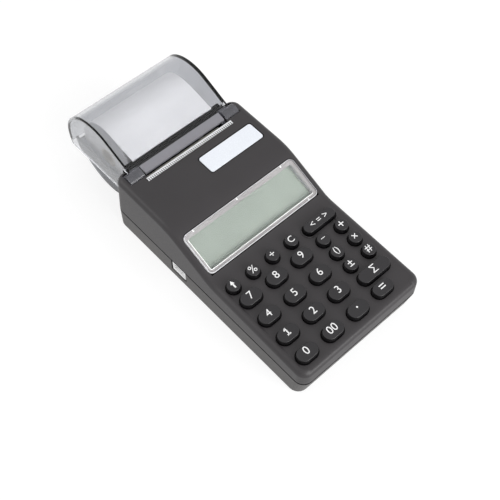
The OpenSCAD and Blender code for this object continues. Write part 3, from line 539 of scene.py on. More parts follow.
# %% Dress the nodes
NODE_FINISH = {
    "upper_casing": upper_plastic, "lower_casing": lower_plastic, "battery_door": lower_plastic,
    "case_screws": screw_steel, "rubber_feet": rubber, "name_plate": plate_white,
    "display_window": lens_clear, "lcd_frame": frame_grey, "lcd_glass": lcd_glass,
    "display_board": board_green, "keypad_mat": mat_rubber, "keypad_board": board_green,
    "main_board": board_green, "board_screws": screw_steel, "board_chips": chip_black, "buzzer": chip_black,
    "board_header": chip_black, "side_connector": contact_metal, "battery_cells": cell_wrap,
    "battery_contacts": contact_metal, "printer_frame": frame_black, "print_head": head_ceramic,
    "head_springs": bright_steel, "platen_roller": rubber, "platen_shaft": bright_steel,
    "platen_bushes": bush_brass, "platen_gear": gear_cream, "idler_gear": gear_cream,
    "stepper_motor": motor_steel, "motor_pinion": bush_brass, "tear_bar": tear_steel,
    "roll_cover": cover_smoke, "paper_tray": tray_smoke, "paper_roll": paper_white, "roll_core": card_brown,
}


def paint(piece, *finishes):
    """Gives a piece its finishes, in the order of its material slots, and keeps which face has which."""
    marks = [face.material_index for face in piece.data.polygons]
    piece.data.materials.clear()
    for finish in finishes:
        piece.data.materials.append(finish)
    for face, mark in zip(piece.data.polygons, marks):
        face.material_index = min(mark, len(finishes) - 1)


for name, node in nodes.items():
    paint(node, NODE_FINISH.get(name, key_plastic))
print("nodes dressed:", len(nodes))

# %% [markdown]
# ## Tools of the bench
#
# The pieces are shaped with Blender's own modelling operators, as by hand. A few helpers keep the steps
# short: one picks parts of a mesh by a test, one applies a modifier, one smooths a finished shape and one
# moves a piece from the middle of the scene, where it is easy to shape, to its place on the object. NEAR is
# how close a place has to be to a line to count as on it, and LEVEL how far up a normal has to point for its
# face to count as level.

# %% Selecting
NEAR = 0.1 * MM
LEVEL = 0.8


def clear_bench():
    """Leaves edit mode and deselects all, so that an operator acts on the next primitive alone."""
    if bpy.context.object and bpy.context.object.mode != "OBJECT":
        bpy.ops.object.mode_set(mode="OBJECT")
    bpy.ops.object.select_all(action="DESELECT")


def focus(piece):
    """Selects one piece alone and makes it active."""
    clear_bench()
    piece.select_set(True)
    bpy.context.view_layer.objects.active = piece


def pick(kind, test):
    """In edit mode, selects the vertices, edges or faces that pass a test, and says how many."""
    bpy.ops.mesh.select_mode(type=kind)
    bpy.ops.mesh.select_all(action="DESELECT")
    mesh = bmesh.from_edit_mesh(bpy.context.edit_object.data)
    parts = {"VERT": mesh.verts, "EDGE": mesh.edges, "FACE": mesh.faces}[kind]
    chosen = [part for part in parts if test(part)]
    for part in chosen:
        part.select_set(True)
    bmesh.update_edit_mesh(bpy.context.edit_object.data)
    return len(chosen)


def middle(edge):
    """The middle of an edge."""
    return (edge.verts[0].co + edge.verts[1].co) / 2


print("selecting ready")

# %% Starting, placing, joining and copying


def label(piece, name):
    """Names a piece and its mesh alike."""
    piece.name = name
    piece.data.name = name
    return piece


def put(piece, place):
    """Moves a piece to its place, and leaves its object at the origin."""
    piece.matrix_world = place
    focus(piece)
    bpy.ops.object.transform_apply(location=True, rotation=True, scale=True)
    return piece


def settle(name):
    """Names the primitive that was just added, with its place and size in its mesh."""
    piece = label(bpy.context.object, name)
    focus(piece)
    bpy.ops.object.transform_apply(location=True, rotation=True, scale=True)
    return piece


def begin(name):
    """Settles the primitive that was just added and opens it in edit mode."""
    piece = settle(name)
    bpy.ops.object.mode_set(mode="EDIT")
    return piece


def join(pieces, name):
    """Joins several pieces into the first."""
    focus(pieces[0])
    for piece in pieces:
        piece.select_set(True)
    bpy.ops.object.join()
    return label(pieces[0], name)


def twin(piece, name):
    """A copy of a piece with its own mesh."""
    copy = piece.copy()
    copy.data = piece.data.copy()
    bpy.context.scene.collection.objects.link(copy)
    return label(copy, name)


print("placing ready")

# %% Shaping and finishing a mesh
MERGE = 0.0005 * MM
FLAT = math.radians(0.3)


def pull(move):
    """Extrudes what is selected along a move."""
    bpy.ops.mesh.extrude_region_move(TRANSFORM_OT_translate={"value": move})


def rise(amount):
    """Extrudes what is selected upwards."""
    pull((0, 0, amount))


def heal(piece):
    """Merges doubles and turns all faces outwards."""
    focus(piece)
    bpy.ops.object.mode_set(mode="EDIT")
    bpy.ops.mesh.select_all(action="SELECT")
    bpy.ops.mesh.remove_doubles(threshold=MERGE)
    bpy.ops.mesh.normals_make_consistent(inside=False)
    bpy.ops.object.mode_set(mode="OBJECT")


def modify(piece, kind, **settings):
    """Adds a modifier with its settings and applies it."""
    modifier = piece.modifiers.new(kind.lower(), kind)
    for name, value in settings.items():
        setattr(modifier, name, value)
    focus(piece)
    bpy.ops.object.modifier_apply(modifier=modifier.name)


def cut(piece, tool, how="DIFFERENCE"):
    """Cuts a piece with a tool, or joins the tool to it, and removes the tool."""
    modify(piece, "BOOLEAN", operation=how, solver="MANIFOLD", object=tool)
    bpy.data.objects.remove(tool)


def soften(piece, width, segments, angle=50):
    """Rounds the edges that are sharper than the angle."""
    modify(piece, "BEVEL", width=width, segments=segments, limit_method="ANGLE",
           angle_limit=math.radians(angle))


def smooth(piece, angle=35):
    """Smooths the shading across edges flatter than the angle, with the large faces kept flat."""
    focus(piece)
    bpy.ops.object.shade_smooth_by_angle(angle=math.radians(angle))
    modify(piece, "WEIGHTED_NORMAL", keep_sharp=True, weight=80)


def recast(node, name):
    """A merged copy of a node's mesh, with no inner walls and with its flat faces in one piece each."""
    piece = bpy.data.objects.new(name, nodes[node].data.copy())
    bpy.context.scene.collection.objects.link(piece)
    heal(piece)
    bpy.ops.mesh.customdata_custom_splitnormals_clear()
    bpy.ops.object.mode_set(mode="EDIT")
    pick("FACE", lambda f: any(len(edge.link_faces) == 1 for edge in f.edges))
    bpy.ops.mesh.delete(type="FACE")
    bpy.ops.mesh.select_all(action="SELECT")
    bpy.ops.mesh.dissolve_limited(angle_limit=FLAT)
    bpy.ops.object.mode_set(mode="OBJECT")
    return piece


print("shaping ready")

# %% Riding on the frame


def add_on(piece, body, slot, *finishes):
    """Finishes a piece and lets it ride on a body."""
    paint(piece, *finishes)
    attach(piece, body)
    print(piece.name, len(piece.data.polygons), "faces")


def stand_in(piece, node, slot, *finishes):
    """Lets a finished piece stand for a node: on its body, in its place, with its finish."""
    add_on(piece, nodes[node]["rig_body"], slot, *finishes)
    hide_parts(node)


# %% [markdown]
# Two outlines are behind most pieces: a capsule, which is a circle pulled apart at its middle, and a
# rectangle with round corners. From either, a piece is stood up in layers. A layer without draw-in is an
# extrusion, and one with draw-in is an inset that is then lifted, which makes a chamfer, a rounded rim or a
# dish.

# %% Outlines and layers
ROUND_STEPS = 8


def capsule(name, length, width, start, sides=48):
    """A filled capsule outline at height start, open in edit mode with its face selected."""
    clear_bench()
    bpy.ops.mesh.primitive_circle_add(vertices=sides, radius=width / 2, fill_type="NGON",
                                      location=(0, 0, start))
    piece = begin(name)
    reach = (length - width) / 2
    if reach > 0:
        for side in (-1, 1):
            pick("VERT", lambda v: v.co.x * side > NEAR)
            bpy.ops.transform.translate(value=(side * reach, 0, 0))
    pick("FACE", lambda f: True)
    return piece


def rounded_rectangle(name, length, width, radius, start):
    """A filled rectangle with round corners at height start, open in edit mode with its face selected."""
    clear_bench()
    bpy.ops.mesh.primitive_plane_add(size=1, location=(0, 0, start))
    bpy.context.object.scale = (length, width, 1)
    piece = begin(name)
    bpy.ops.mesh.select_all(action="SELECT")
    bpy.ops.mesh.bevel(offset=radius, segments=ROUND_STEPS, affect="VERTICES", offset_type="OFFSET")
    pick("FACE", lambda f: True)
    return piece


def layers(steps):
    """Stands the selected face up: each step is how far it draws in and how far it rises."""
    for draw_in, lift in steps:
        if draw_in:
            bpy.ops.mesh.inset(thickness=draw_in, depth=0)
            bpy.ops.transform.translate(value=(0, 0, lift))
        else:
            rise(lift)
    bpy.ops.mesh.select_all(action="SELECT")
    bpy.ops.mesh.normals_make_consistent(inside=False)
    bpy.ops.object.mode_set(mode="OBJECT")


def slab(name, length, width, radius, low, high):
    """A flat slab with round corners, from height low to high."""
    piece = rounded_rectangle(name, length, width, radius, low)
    layers([(0, high - low)])
    return piece


def rim_steps(radius, count):
    """Steps of a rounded rim: how far each draws in and rises on the way round a quarter circle."""
    angles = [math.pi / 2 * i / count for i in range(count + 1)]
    return [(radius * (math.cos(a) - math.cos(b)), radius * (math.sin(b) - math.sin(a)))
            for a, b in zip(angles, angles[1:])]


print("rim of 3 steps:", [[round(x, 2) for x in step] for step in rim_steps(1, 3)])

# %% [markdown]
# ## Where the keys are
#
# Each key rides on a body of its own. Its place is read from its node's box: the middle across, and
# lengthways the middle of the flange, which hangs below the tilted panel and so lies a little behind the
# key's own middle.

# %% Key places
key_proud = 2.9 * MM
key_gap = 0.25 * MM
flange_reach = 0.5 * MM
flange_t = 0.8 * MM
flange_top = -2.2 * MM
flange_middle = flange_top - flange_t / 2
ROUND_KEYS = ["key_up", "key_clear", "key_minus", "key_plus"] + [f"key_function_{i}" for i in range(1, 7)]
NUMBER_KEYS = [f"key_{i}" for i in range(10)] + ["key_00", "key_point"]
KEY_WIDTH = {"key_mode": 6.8 * MM, "key_subtotal": 8 * MM, "key_total": 8 * MM}
KEY_WIDTH.update({name: 8.5 * MM for name in NUMBER_KEYS})
KEY_WIDTH.update({name: 7.9 * MM for name in ROUND_KEYS})


def key_place(name):
    """x, u, length and width of a key."""
    low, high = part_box(name)
    u = (low.y + high.y) / 2 - front_y + flange_middle * math.sin(panel_tilt)
    return (low.x + high.x) / 2, u, high.x - low.x - 2 * flange_reach, KEY_WIDTH[name]


KEYS = {name: key_place(name) for name in KEY_WIDTH}
print(len(KEYS), "keys; key_7 at", [round(v / MM, 2) for v in KEYS["key_7"]])

# %% [markdown]
# ## The upper shell
#
# The upper shell is one moulding: a long box whose top follows the profile, with round corners, soft top
# edges and a thin wall. It could be a subdivision cage, but then the flats would swell. Here it is drawn
# out like clay: the front wall is extruded station by station along the profile, its corners and edges are
# bevelled, and the wall comes last.

# %% The block along the profile
SEAM = 0.85 * MM
SHOULDER_IN = 0.9 * MM
SHOULDER_DEPTH = 0.32 * MM
LAST_FLAT = 14 * MM
HOLLOW_STEPS = 6
CREST_STEPS = 9
stations = [keypad_len + (face_u - keypad_len) * i / HOLLOW_STEPS for i in range(HOLLOW_STEPS + 1)]
stations += [crest_u + (top_u - crest_u) * i / CREST_STEPS for i in range(CREST_STEPS + 1)]
stations += [case_len - LAST_FLAT, case_len]
clear_bench()
first_height = top_height(0) - parting_z
bpy.ops.mesh.primitive_plane_add(size=1, rotation=(math.pi / 2, 0, 0),
                                 location=(0, front_y, parting_z + first_height / 2))
bpy.context.object.scale = (case_w, first_height, 1)
upper = begin("upper_shell")
bpy.ops.mesh.select_all(action="SELECT")
place_u = 0
for station in stations:
    pull((0, station - place_u, 0))
    growth = (top_height(station) - parting_z) / (top_height(place_u) - parting_z)
    bpy.ops.transform.resize(value=(1, 1, growth), center_override=(0, front_y + station, parting_z))
    place_u = station
pick("VERT", lambda v: v.co.y > front_y + case_len - NEAR and v.co.z > parting_z + wall)
bpy.ops.transform.translate(value=(0, -rear_lean, -rear_lean * math.tan(top_tilt)))
bpy.ops.mesh.select_all(action="SELECT")
bpy.ops.mesh.normals_make_consistent(inside=False)
print("block of", len(upper.data.polygons), "faces")

# %% Round corners, soft top edges and the open bottom
CORNER_STEPS = 9
CROWN_STEPS = 7
STEEP = 0.5


def upright(edge):
    """True for an edge of one of the four corners."""
    a, b = (v.co for v in edge.verts)
    at_end = min(abs(middle(edge).y - front_y), abs(middle(edge).y - front_y - case_len)) < rear_lean
    return at_end and abs(a.z - b.z) > corner_r and abs(abs(a.x) - case_w / 2) < NEAR


def crown(edge):
    """True for an edge between the top face and a wall."""
    tilts = sorted(face.normal.z for face in edge.link_faces)
    return len(tilts) == 2 and tilts[0] < STEEP and tilts[1] > LEVEL


corners = pick("EDGE", upright)
bpy.ops.mesh.bevel(offset=corner_r, segments=CORNER_STEPS, affect="EDGES", clamp_overlap=False)
crowned = pick("EDGE", crown)
bpy.ops.mesh.bevel(offset=edge_r, segments=CROWN_STEPS, affect="EDGES", clamp_overlap=False)
pick("FACE", lambda f: f.normal.z < -LEVEL)
bpy.ops.mesh.delete(type="FACE")
print("corners", corners, "crown edges", crowned)

# %% [markdown]
# The flat of the top is let in by a third of a millimetre behind a soft shoulder that starts at the display
# and runs round the keypad. It is an inset of the top faces, lowered more and more towards the keypad.

# %% The shoulder
SHOULDER_FADE = 30 * MM
SHOULDER_START = crest_u + 6 * MM
ROW_REACH = 0.006 * MM


def shoulder_depth(u):
    """How deep the flat is let in at distance u from the front end, with a soft start and end."""
    share = min(1, max(0, (SHOULDER_START - u) / SHOULDER_FADE))
    return SHOULDER_DEPTH * share * share * (3 - 2 * share)


def key_of(vertex):
    """A vertex's place, rounded, so that it can be found again after it was picked."""
    return tuple(round(c, 7) for c in vertex.co)


pick("FACE", lambda f: f.normal.z > LEVEL and abs(f.calc_center_median().x) < corner_r)
bpy.ops.mesh.inset(thickness=SHOULDER_IN, depth=0)
inner = {key_of(v) for v in bmesh.from_edit_mesh(upper.data).verts if v.select}
for row_u in sorted({round(spot[1] - front_y, 5) for spot in inner}):
    depth = shoulder_depth(row_u)
    if depth > 0:
        pick("VERT", lambda v: key_of(v) in inner and abs(v.co.y - front_y - row_u) < ROW_REACH)
        bpy.ops.transform.translate(value=(0, 0, -depth))
bpy.ops.object.mode_set(mode="OBJECT")
modify(upper, "SOLIDIFY", thickness=wall, offset=-1, use_even_offset=True)
focus(upper)
bpy.ops.object.mode_set(mode="EDIT")
pick("VERT", lambda v: v.co.z < parting_z + NEAR)
bpy.ops.transform.resize(value=(1, 1, 0), center_override=(0, 0, parting_z + SEAM))
bpy.ops.object.mode_set(mode="OBJECT")
print("shell of", len(upper.data.polygons), "faces")

# %% [markdown]
# Every opening of the shell is cut by a tool of its own shape: a capsule with a small chamfer for each key,
# a stepped pocket for the window, a shallow one for the plate, and round and square tools for the hinge and
# the paper slot.

# %% Tools for the keys, the window and the plate
CHAMFER = 0.22 * MM
ABOVE = 2 * MM
TOOL_TOP = 60 * MM
window_low, window_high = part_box("display_window")
window_w = window_high.x - window_low.x
window_h = 25.3 * MM
window_t = 1.8 * MM
window_proud = 0.4 * MM
display_middle_u = (face_u + crest_u) / 2
plate_low, plate_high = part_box("name_plate")
plate_w = plate_high.x - plate_low.x
plate_h = 12 * MM
plate_t = 0.6 * MM
plate_proud = 0.2 * MM
plate_u = (plate_low.y + plate_high.y) / 2 - front_y
plate_x = (plate_low.x + plate_high.x) / 2


def key_hole_tool(name):
    """A tool for a key's hole: wide above the panel, then a chamfer, then the hole through the wall."""
    x, u, length, width = KEYS[name]
    grow = 2 * (key_gap + CHAMFER)
    tool = capsule("hole_tool", length + grow, width + grow, ABOVE)
    layers([(0, -ABOVE - shoulder_depth(u)), (CHAMFER, -CHAMFER), (0, -wall - ABOVE)])
    return put(tool, on_face(x, u))


key_tools = join([key_hole_tool(name) for name in KEYS], "key_hole_tools")
WINDOW_GAP = 0.4 * MM
WINDOW_ROUND = 3.1 * MM
LEDGE_IN = 2 * MM
PLATE_GAP = 0.6 * MM
PLATE_POCKET_ROUND = 1.8 * MM
window_tool = rounded_rectangle("window_tool", window_w + 2 * WINDOW_GAP, window_h + 2 * WINDOW_GAP,
                                WINDOW_ROUND + WINDOW_GAP, ABOVE)
layers([(0, window_proud - window_t - ABOVE), (LEDGE_IN, 0), (0, -wall - ABOVE)])
put(window_tool, on_face(0, display_middle_u))
plate_tool = rounded_rectangle("plate_tool", plate_w + 2 * PLATE_GAP, plate_h + 2 * PLATE_GAP,
                               PLATE_POCKET_ROUND, ABOVE)
layers([(0, plate_proud - plate_t - ABOVE)])
put(plate_tool, on_face(plate_x, plate_u))
print("tools ready")

# %% Tools for the hinge and the paper slot
hinge = next(j for j in frame["joints"] if j["name"] == "cover_hinge")
hinge_y, hinge_z = hinge["pos_m"][1:]
tear_low, tear_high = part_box("tear_bar")
ear_r = 4.6 * MM
ear_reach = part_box("roll_cover")[1].x
pocket_r = 5.41 * MM
slot_half = 28.9 * MM
slot_y = front_y + 136.5 * MM
wall_top_z = 43.22 * MM
cover_half = 36.1 * MM
cover_gap = 0.4 * MM
TEAR_GAP = 0.1 * MM
TEAR_FRONT = -2 * MM
TEAR_REAR = 0.9 * MM
TEAR_SUNK = 0.4 * MM
TEAR_TOP = 4 * MM


def block(name, low, high):
    """A box from its lowest to its highest corner."""
    clear_bench()
    bpy.ops.mesh.primitive_cube_add(size=1, location=[(a + b) / 2 for a, b in zip(low, high)])
    bpy.context.object.scale = [b - a for a, b in zip(low, high)]
    return settle(name)


def bar(name, x0, x1, y, z, radius):
    """A round bar along X."""
    clear_bench()
    bpy.ops.mesh.primitive_cylinder_add(vertices=64, radius=radius, depth=x1 - x0,
                                        rotation=(0, math.pi / 2, 0), location=((x0 + x1) / 2, y, z))
    return settle(name)


rear_y = case_high.y
hinge_tools = [bar("pocket_tool", slot_half, ear_reach + cover_gap, hinge_y, hinge_z, pocket_r),
               bar("pocket_tool", -ear_reach - cover_gap, -slot_half, hinge_y, hinge_z, pocket_r)]
slot_rear_y = rear_y - rear_lean - wall
slot_tool = block("slot_tool", (-slot_half, slot_y, parting_z + wall), (slot_half, slot_rear_y, TOOL_TOP))
room_tool = block("room_tool", (-cover_half - cover_gap, hinge_y, wall_top_z),
                  (cover_half + cover_gap, rear_y + wall, TOOL_TOP))
tear_half = tear_high.x + TEAR_GAP
tear_tool = block("tear_tool", (-tear_half, TEAR_FRONT, -TEAR_SUNK), (tear_half, TEAR_REAR, TEAR_TOP))
put(tear_tool, on_face(0, slot_y - front_y))
for tool in (key_tools, window_tool, plate_tool, *hinge_tools, slot_tool, room_tool, tear_tool):
    cut(upper, tool)
print("shell with openings:", len(upper.data.polygons), "faces")

# %% [markdown]
# Low crescents stand on the panel round both ends of the long key. Each is half a flat ring, joined to the
# shell.

# %% Crescents of the long key
mode_x, mode_u, mode_length, mode_width = KEYS["key_mode"]
CRESCENT_R = mode_width / 2 + 0.95 * MM
CRESCENT_T = 0.42 * MM
CRESCENT_CUT = 0.2
CRESCENT_SUNK = 0.1 * MM
for side in (-1, 1):
    clear_bench()
    bpy.ops.mesh.primitive_torus_add(major_radius=CRESCENT_R, minor_radius=CRESCENT_T, major_segments=64,
                                     minor_segments=16)
    crescent = begin("crescent")
    bpy.ops.mesh.select_all(action="SELECT")
    bpy.ops.mesh.bisect(plane_co=(side * CRESCENT_R * CRESCENT_CUT, 0, 0), plane_no=(side, 0, 0),
                        use_fill=True, clear_inner=True)
    bpy.ops.object.mode_set(mode="OBJECT")
    put(crescent, on_face(mode_x + side * (mode_length - mode_width) / 2, mode_u)
        @ Matrix.Translation((0, 0, -shoulder_depth(mode_u) + CRESCENT_SUNK)))
    cut(upper, crescent, "UNION")
smooth(upper)
print("crescents at", [round(side * (mode_length - mode_width) / 2 / MM, 1) for side in (-1, 1)])

# %% [markdown]
# Three places of the shell lie in shade: the gap round the window, the gap round the plate and the top of
# the low rear wall under the cover. Their faces are found by their place and get a painted shade, a black
# without shine. The painted shade in a gap starts a little below the top face, so its upper edge keeps the
# plastic's colour.

# %% Painted shade in the gaps
RECESS_PLAY = 0.7 * MM
RECESS_START = 0.125
WALL_START = hinge_y + 4 * MM
WALL_REACH = 0.3 * MM
RECESSES = [(on_face(0, display_middle_u), window_w, window_h, window_t),
            (on_face(plate_x, plate_u), plate_w, plate_h, plate_t)]


def in_recess(spot, middle, length, width, depth):
    """Tells whether a place lies in the gap round a part that is let into the top face."""
    spot = middle.inverted() @ spot
    beside = abs(spot.x) < length / 2 + RECESS_PLAY and abs(spot.y) < width / 2 + RECESS_PLAY
    return beside and -depth < spot.z < -depth * RECESS_START


def on_rear_wall(face):
    """Tells whether a face is the top of the low rear wall."""
    spot = face.center
    return spot.y > WALL_START and abs(spot.z - wall_top_z) < WALL_REACH and face.normal.z > LEVEL


# Faces in the gaps and on the rear wall's top get index 1, the painted shade
for face in upper.data.polygons:
    dark = on_rear_wall(face) or any(in_recess(face.center, *recess) for recess in RECESSES)
    face.material_index = 1 if dark else 0
stand_in(upper, "upper_casing", "upper_shell", upper_plastic, painted_shade_black)

# %% [markdown]
# ## The keys
#
# A key is a hard cap with a flange that holds it behind the panel. Its sides lean in, its rim is round and
# its top is slightly dished for the finger. The top has a fine grain. The sides are glossy and get a painted
# shade, a colour much darker than the top's, for the shade that falls on them. There are twenty-five keys
# of five shapes, so each shape is modelled once, and every key is a copy with its own mesh, on its own body.

# %% Key caps
KEY_RIM = 0.35 * MM
KEY_LEAN = 0.28 * MM
CAP_SIDES = 64
CAP_LEVEL = 0.75
DISH = [(0.6 * MM, -0.05 * MM), (0.7 * MM, -0.03 * MM), (0.7 * MM, -0.02 * MM)]
DISH_DEPTH = -sum(drop for _, drop in DISH)
shapes = {}


def key_cap(length, width):
    """The cap of one key shape, standing in the middle of the scene."""
    cap = capsule("key_cap", length + 2 * flange_reach, width + 2 * flange_reach, flange_top - flange_t,
                  CAP_SIDES)
    sides = [(0, flange_t), (flange_reach, 0), (0, -flange_top), (KEY_LEAN, key_proud - KEY_RIM)]
    layers(sides + rim_steps(KEY_RIM, 5) + DISH)
    smooth(cap, 40)
    # The steep faces, the sides and the lower rim, get the painted shade of the sides
    for face in cap.data.polygons:
        face.material_index = 1 if face.normal.z < CAP_LEVEL else 0
    return cap


for name, (x, u, length, width) in KEYS.items():
    size = (round(length / MM, 1), round(width / MM, 1))
    if size not in shapes:
        shapes[size] = key_cap(length, width)
    cap = put(twin(shapes[size], name + "_cap"), on_face(x, u))
    stand_in(cap, name, "key_plastic", key_plastic, key_side_painted_shade)
for shape in shapes.values():
    bpy.data.objects.remove(shape)
print(len(shapes), "shapes of key")

# %% [markdown]
# The legends are printed white on the caps. They are generic: plain numbers and signs, in Blender's own
# font. Each legend becomes a thin mesh before it is moved to its key, and rides on the key's body. The
# arrow is a triangle with a bar, and the 1 has a flag and a foot, which the font leaves out.

# %% Legends
LEGENDS = {"key_function_1": "%", "key_function_2": "÷", "key_clear": "C",
           "key_mode": "< = >", "key_minus": "–", "key_plus": "+", "key_function_3": "()",
           "key_function_4": "×", "key_function_5": "±", "key_function_6": "#",
           "key_subtotal": "Σ", "key_total": "=", "key_00": "00", "key_point": "."}
LEGENDS.update({f"key_{digit}": str(digit) for digit in range(10) if digit != 1})
LEGEND_SIZE = 6.3 * MM
SMALL_KEY_SHARE = 0.86
SIGN_GROWTH = {"÷×±#Σ%": 1.2, "+=.": 1.4}
LEGEND_BACK = 1 * MM
SMALL_LEGEND_BACK = 0.7 * MM
INK = 0.03 * MM


def legend(name, words, size):
    """A thin, centred legend in the middle of the scene, as a mesh."""
    clear_bench()
    bpy.ops.object.text_add()
    piece = bpy.context.object
    piece.name = name
    piece.data.body = words
    piece.data.align_x = "CENTER"
    piece.data.size = size
    piece.data.extrude = INK
    piece.data.resolution_u = 6
    bpy.ops.object.convert(target="MESH")
    piece = bpy.context.object
    heights = [v.co.y for v in piece.data.vertices]
    middle_y = (min(heights) + max(heights)) / 2
    return put(piece, Matrix.Translation((0, -middle_y, 0)))


def print_on(printed, name):
    """Lays a legend on its key, a little behind the middle, and lets it ride with the key."""
    x, u, _, _ = KEYS[name]
    back = LEGEND_BACK if name in NUMBER_KEYS else SMALL_LEGEND_BACK
    put(printed, on_face(x, u) @ Matrix.Translation((0, back, key_proud - DISH_DEPTH / 2)))
    add_on(printed, nodes[name]["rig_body"], "key_plastic", legend_white_and_painted_highlight)


for name, words in LEGENDS.items():
    size = LEGEND_SIZE if name in NUMBER_KEYS else SMALL_KEY_SHARE * LEGEND_SIZE
    for signs, growth in SIGN_GROWTH.items():
        if words in signs:
            size *= growth
    print_on(legend(name + "_legend", words, size), name)

# %% The arrow of the feed key and the 1
HEAD_R = 1.5 * MM
TAIL_W = 0.9 * MM
TAIL_LEN = 2.6 * MM
TAIL_FORWARD = 1.2 * MM
STROKE = 0.72 * MM
STROKE_ROUND = 0.05 * MM
TAIL_ROUND = 0.1 * MM
ONE_H = 4.4 * MM
FOOT_W = 2.3 * MM
FLAG_W = 1.7 * MM
FLAG_PLACE = Vector((-0.55, 1.45, 0)) * MM
FLAG_TURN = math.radians(40)


def stroke(name, length, width, place, turn=0, rounding=STROKE_ROUND):
    """One straight stroke of a printed sign."""
    piece = slab(name, length, width, rounding, 0, INK)
    return put(piece, Matrix.Translation(place) @ Matrix.Rotation(turn, 4, "Z"))


clear_bench()
bpy.ops.mesh.primitive_circle_add(vertices=3, radius=HEAD_R, fill_type="NGON", location=(0, HEAD_R / 2, 0))
head = begin("arrow_head")
pick("FACE", lambda f: True)
rise(INK)
bpy.ops.object.mode_set(mode="OBJECT")
tail = stroke("arrow_tail", TAIL_W, TAIL_LEN, (0, -TAIL_FORWARD, 0), rounding=TAIL_ROUND)
print_on(join([head, tail], "key_up_legend"), "key_up")
stem = stroke("stem", STROKE, ONE_H, (0, 0, 0))
foot = stroke("foot", FOOT_W, STROKE, (0, (STROKE - ONE_H) / 2, 0))
flag = stroke("flag", FLAG_W, STROKE, FLAG_PLACE, FLAG_TURN)
print_on(join([stem, foot, flag], "key_1_legend"), "key_1")

# %% [markdown]
# ## The display window
#
# The window is a clear lens with a rounded rim, glued on the slope, and a grey border printed on its
# underside. The sloping faces of the rim get a pale opaque colour, a painted highlight. The border is a thin
# frame of its own just above the ledge, cut out where the LCD shows. A white line along its inner edge, at
# the left and the front only, is a painted highlight where light catches that edge.

# %% Lens
LENS_RIM = 0.35 * MM
RIM_STEEP = 0.1
RIM_LEVEL = 0.97
BORDER_T = 0.3 * MM
BORDER_PLAY = 0.3 * MM
ledge = window_proud - window_t
lens = rounded_rectangle("display_lens", window_w, window_h, WINDOW_ROUND, ledge + BORDER_T)
layers([(0, window_t - BORDER_T - LENS_RIM)] + rim_steps(LENS_RIM, 3))
smooth(lens)
# The rim's sloping faces get index 1, the painted highlight
for face in lens.data.polygons:
    face.material_index = 1 if RIM_STEEP < face.normal.z < RIM_LEVEL else 0
put(lens, on_face(0, display_middle_u))
stand_in(lens, "display_window", "clear_window", lens_clear, lens_rim_painted_highlight)

# %% Border and the painted highlight on its inner edge
VIEW_W = 74.4 * MM
VIEW_H = 20 * MM
VIEW_FORWARD = 0.3 * MM
VIEW_ROUND = 0.6 * MM
BORDER_ROUND = WINDOW_ROUND - 0.2 * MM
LINE_W = 0.35 * MM
LINE_ROUND = 0.8 * MM
INK_LIFT = 0.05 * MM


def opened(piece, low, high):
    """Cuts the view of the display out of a slab."""
    tool = slab("view_tool", VIEW_W, VIEW_H, VIEW_ROUND, low - ABOVE, high + ABOVE)
    cut(piece, put(tool, Matrix.Translation((0, -VIEW_FORWARD, 0))))
    return put(piece, on_face(0, display_middle_u))


border_top = ledge + BORDER_T - INK_LIFT
border = slab("display_border", window_w - BORDER_PLAY, window_h - BORDER_PLAY, BORDER_ROUND, ledge,
              border_top)
add_on(opened(border, ledge, border_top), "register", "clear_window", border_grey)
# Painted highlight: a white line at the left and front of the view only, none at the rear
line = slab("display_painted_highlight", VIEW_W + LINE_W, VIEW_H + LINE_W, LINE_ROUND, border_top,
            border_top + INK_LIFT / 2)
put(line, Matrix.Translation((-LINE_W / 2, -VIEW_FORWARD - LINE_W / 2, 0)))
add_on(opened(line, border_top, border_top), "register", "clear_window", legend_white_and_painted_highlight)

# %% Catches of the window
CATCH_W = 0.8 * MM
CATCH_REACH = 1.1 * MM
CATCH_T = 0.04 * MM
CATCH_ROUND = 0.2 * MM
CATCH_SPOTS = ((-32 * MM, 1), (-1.2 * MM, 1), (31.2 * MM, 1), (32.5 * MM, -1))
catches = []
for x, side in CATCH_SPOTS:
    catch = slab("window_catch", CATCH_W, CATCH_REACH, CATCH_ROUND, border_top, border_top + CATCH_T)
    edge_y = side * (window_h / 2 - BORDER_PLAY - CATCH_REACH / 2)
    catches.append(put(catch, on_face(0, display_middle_u) @ Matrix.Translation((x, edge_y, 0))))
add_on(join(catches, "window_catches"), "register", "clear_window", legend_white_and_painted_highlight)

# %% [markdown]
# ## The plate
#
# A thin plate with soft edges lies in its shallow recess on the printer's top, slightly proud of it. It is
# left bare. An inset that is lifted step by step gives it a rim that catches the light.

# %% Plate
PLATE_RIM = 0.2 * MM
PLATE_ROUND = 1.5 * MM
plate = rounded_rectangle("plate", plate_w, plate_h, PLATE_ROUND, plate_proud - plate_t)
layers([(0, plate_t - PLATE_RIM)] + rim_steps(PLATE_RIM, 3))
smooth(plate)
put(plate, on_face(plate_x, plate_u))
stand_in(plate, "name_plate", "plate_metal", plate_white)

# %% [markdown]
# ## The roll cover
#
# The cover is one clear smoky moulding: a round roof over the paper roll, two end walls, a neck with a flap
# above the cutter, and two ears on the hinge. Its shape is all arcs and flats that the frame already holds,
# so its mesh is copied, merged and given small round edges. The edge of clear plastic looks dark where one
# looks along the wall, so a narrow strip at each end of the roof gets a painted shade. The flap is hazy,
# and its outline and that of the ears catch the light, so their round edges get a painted highlight, a pale
# opaque colour. The faces of each place are found by where they lie and by which way their normals point.

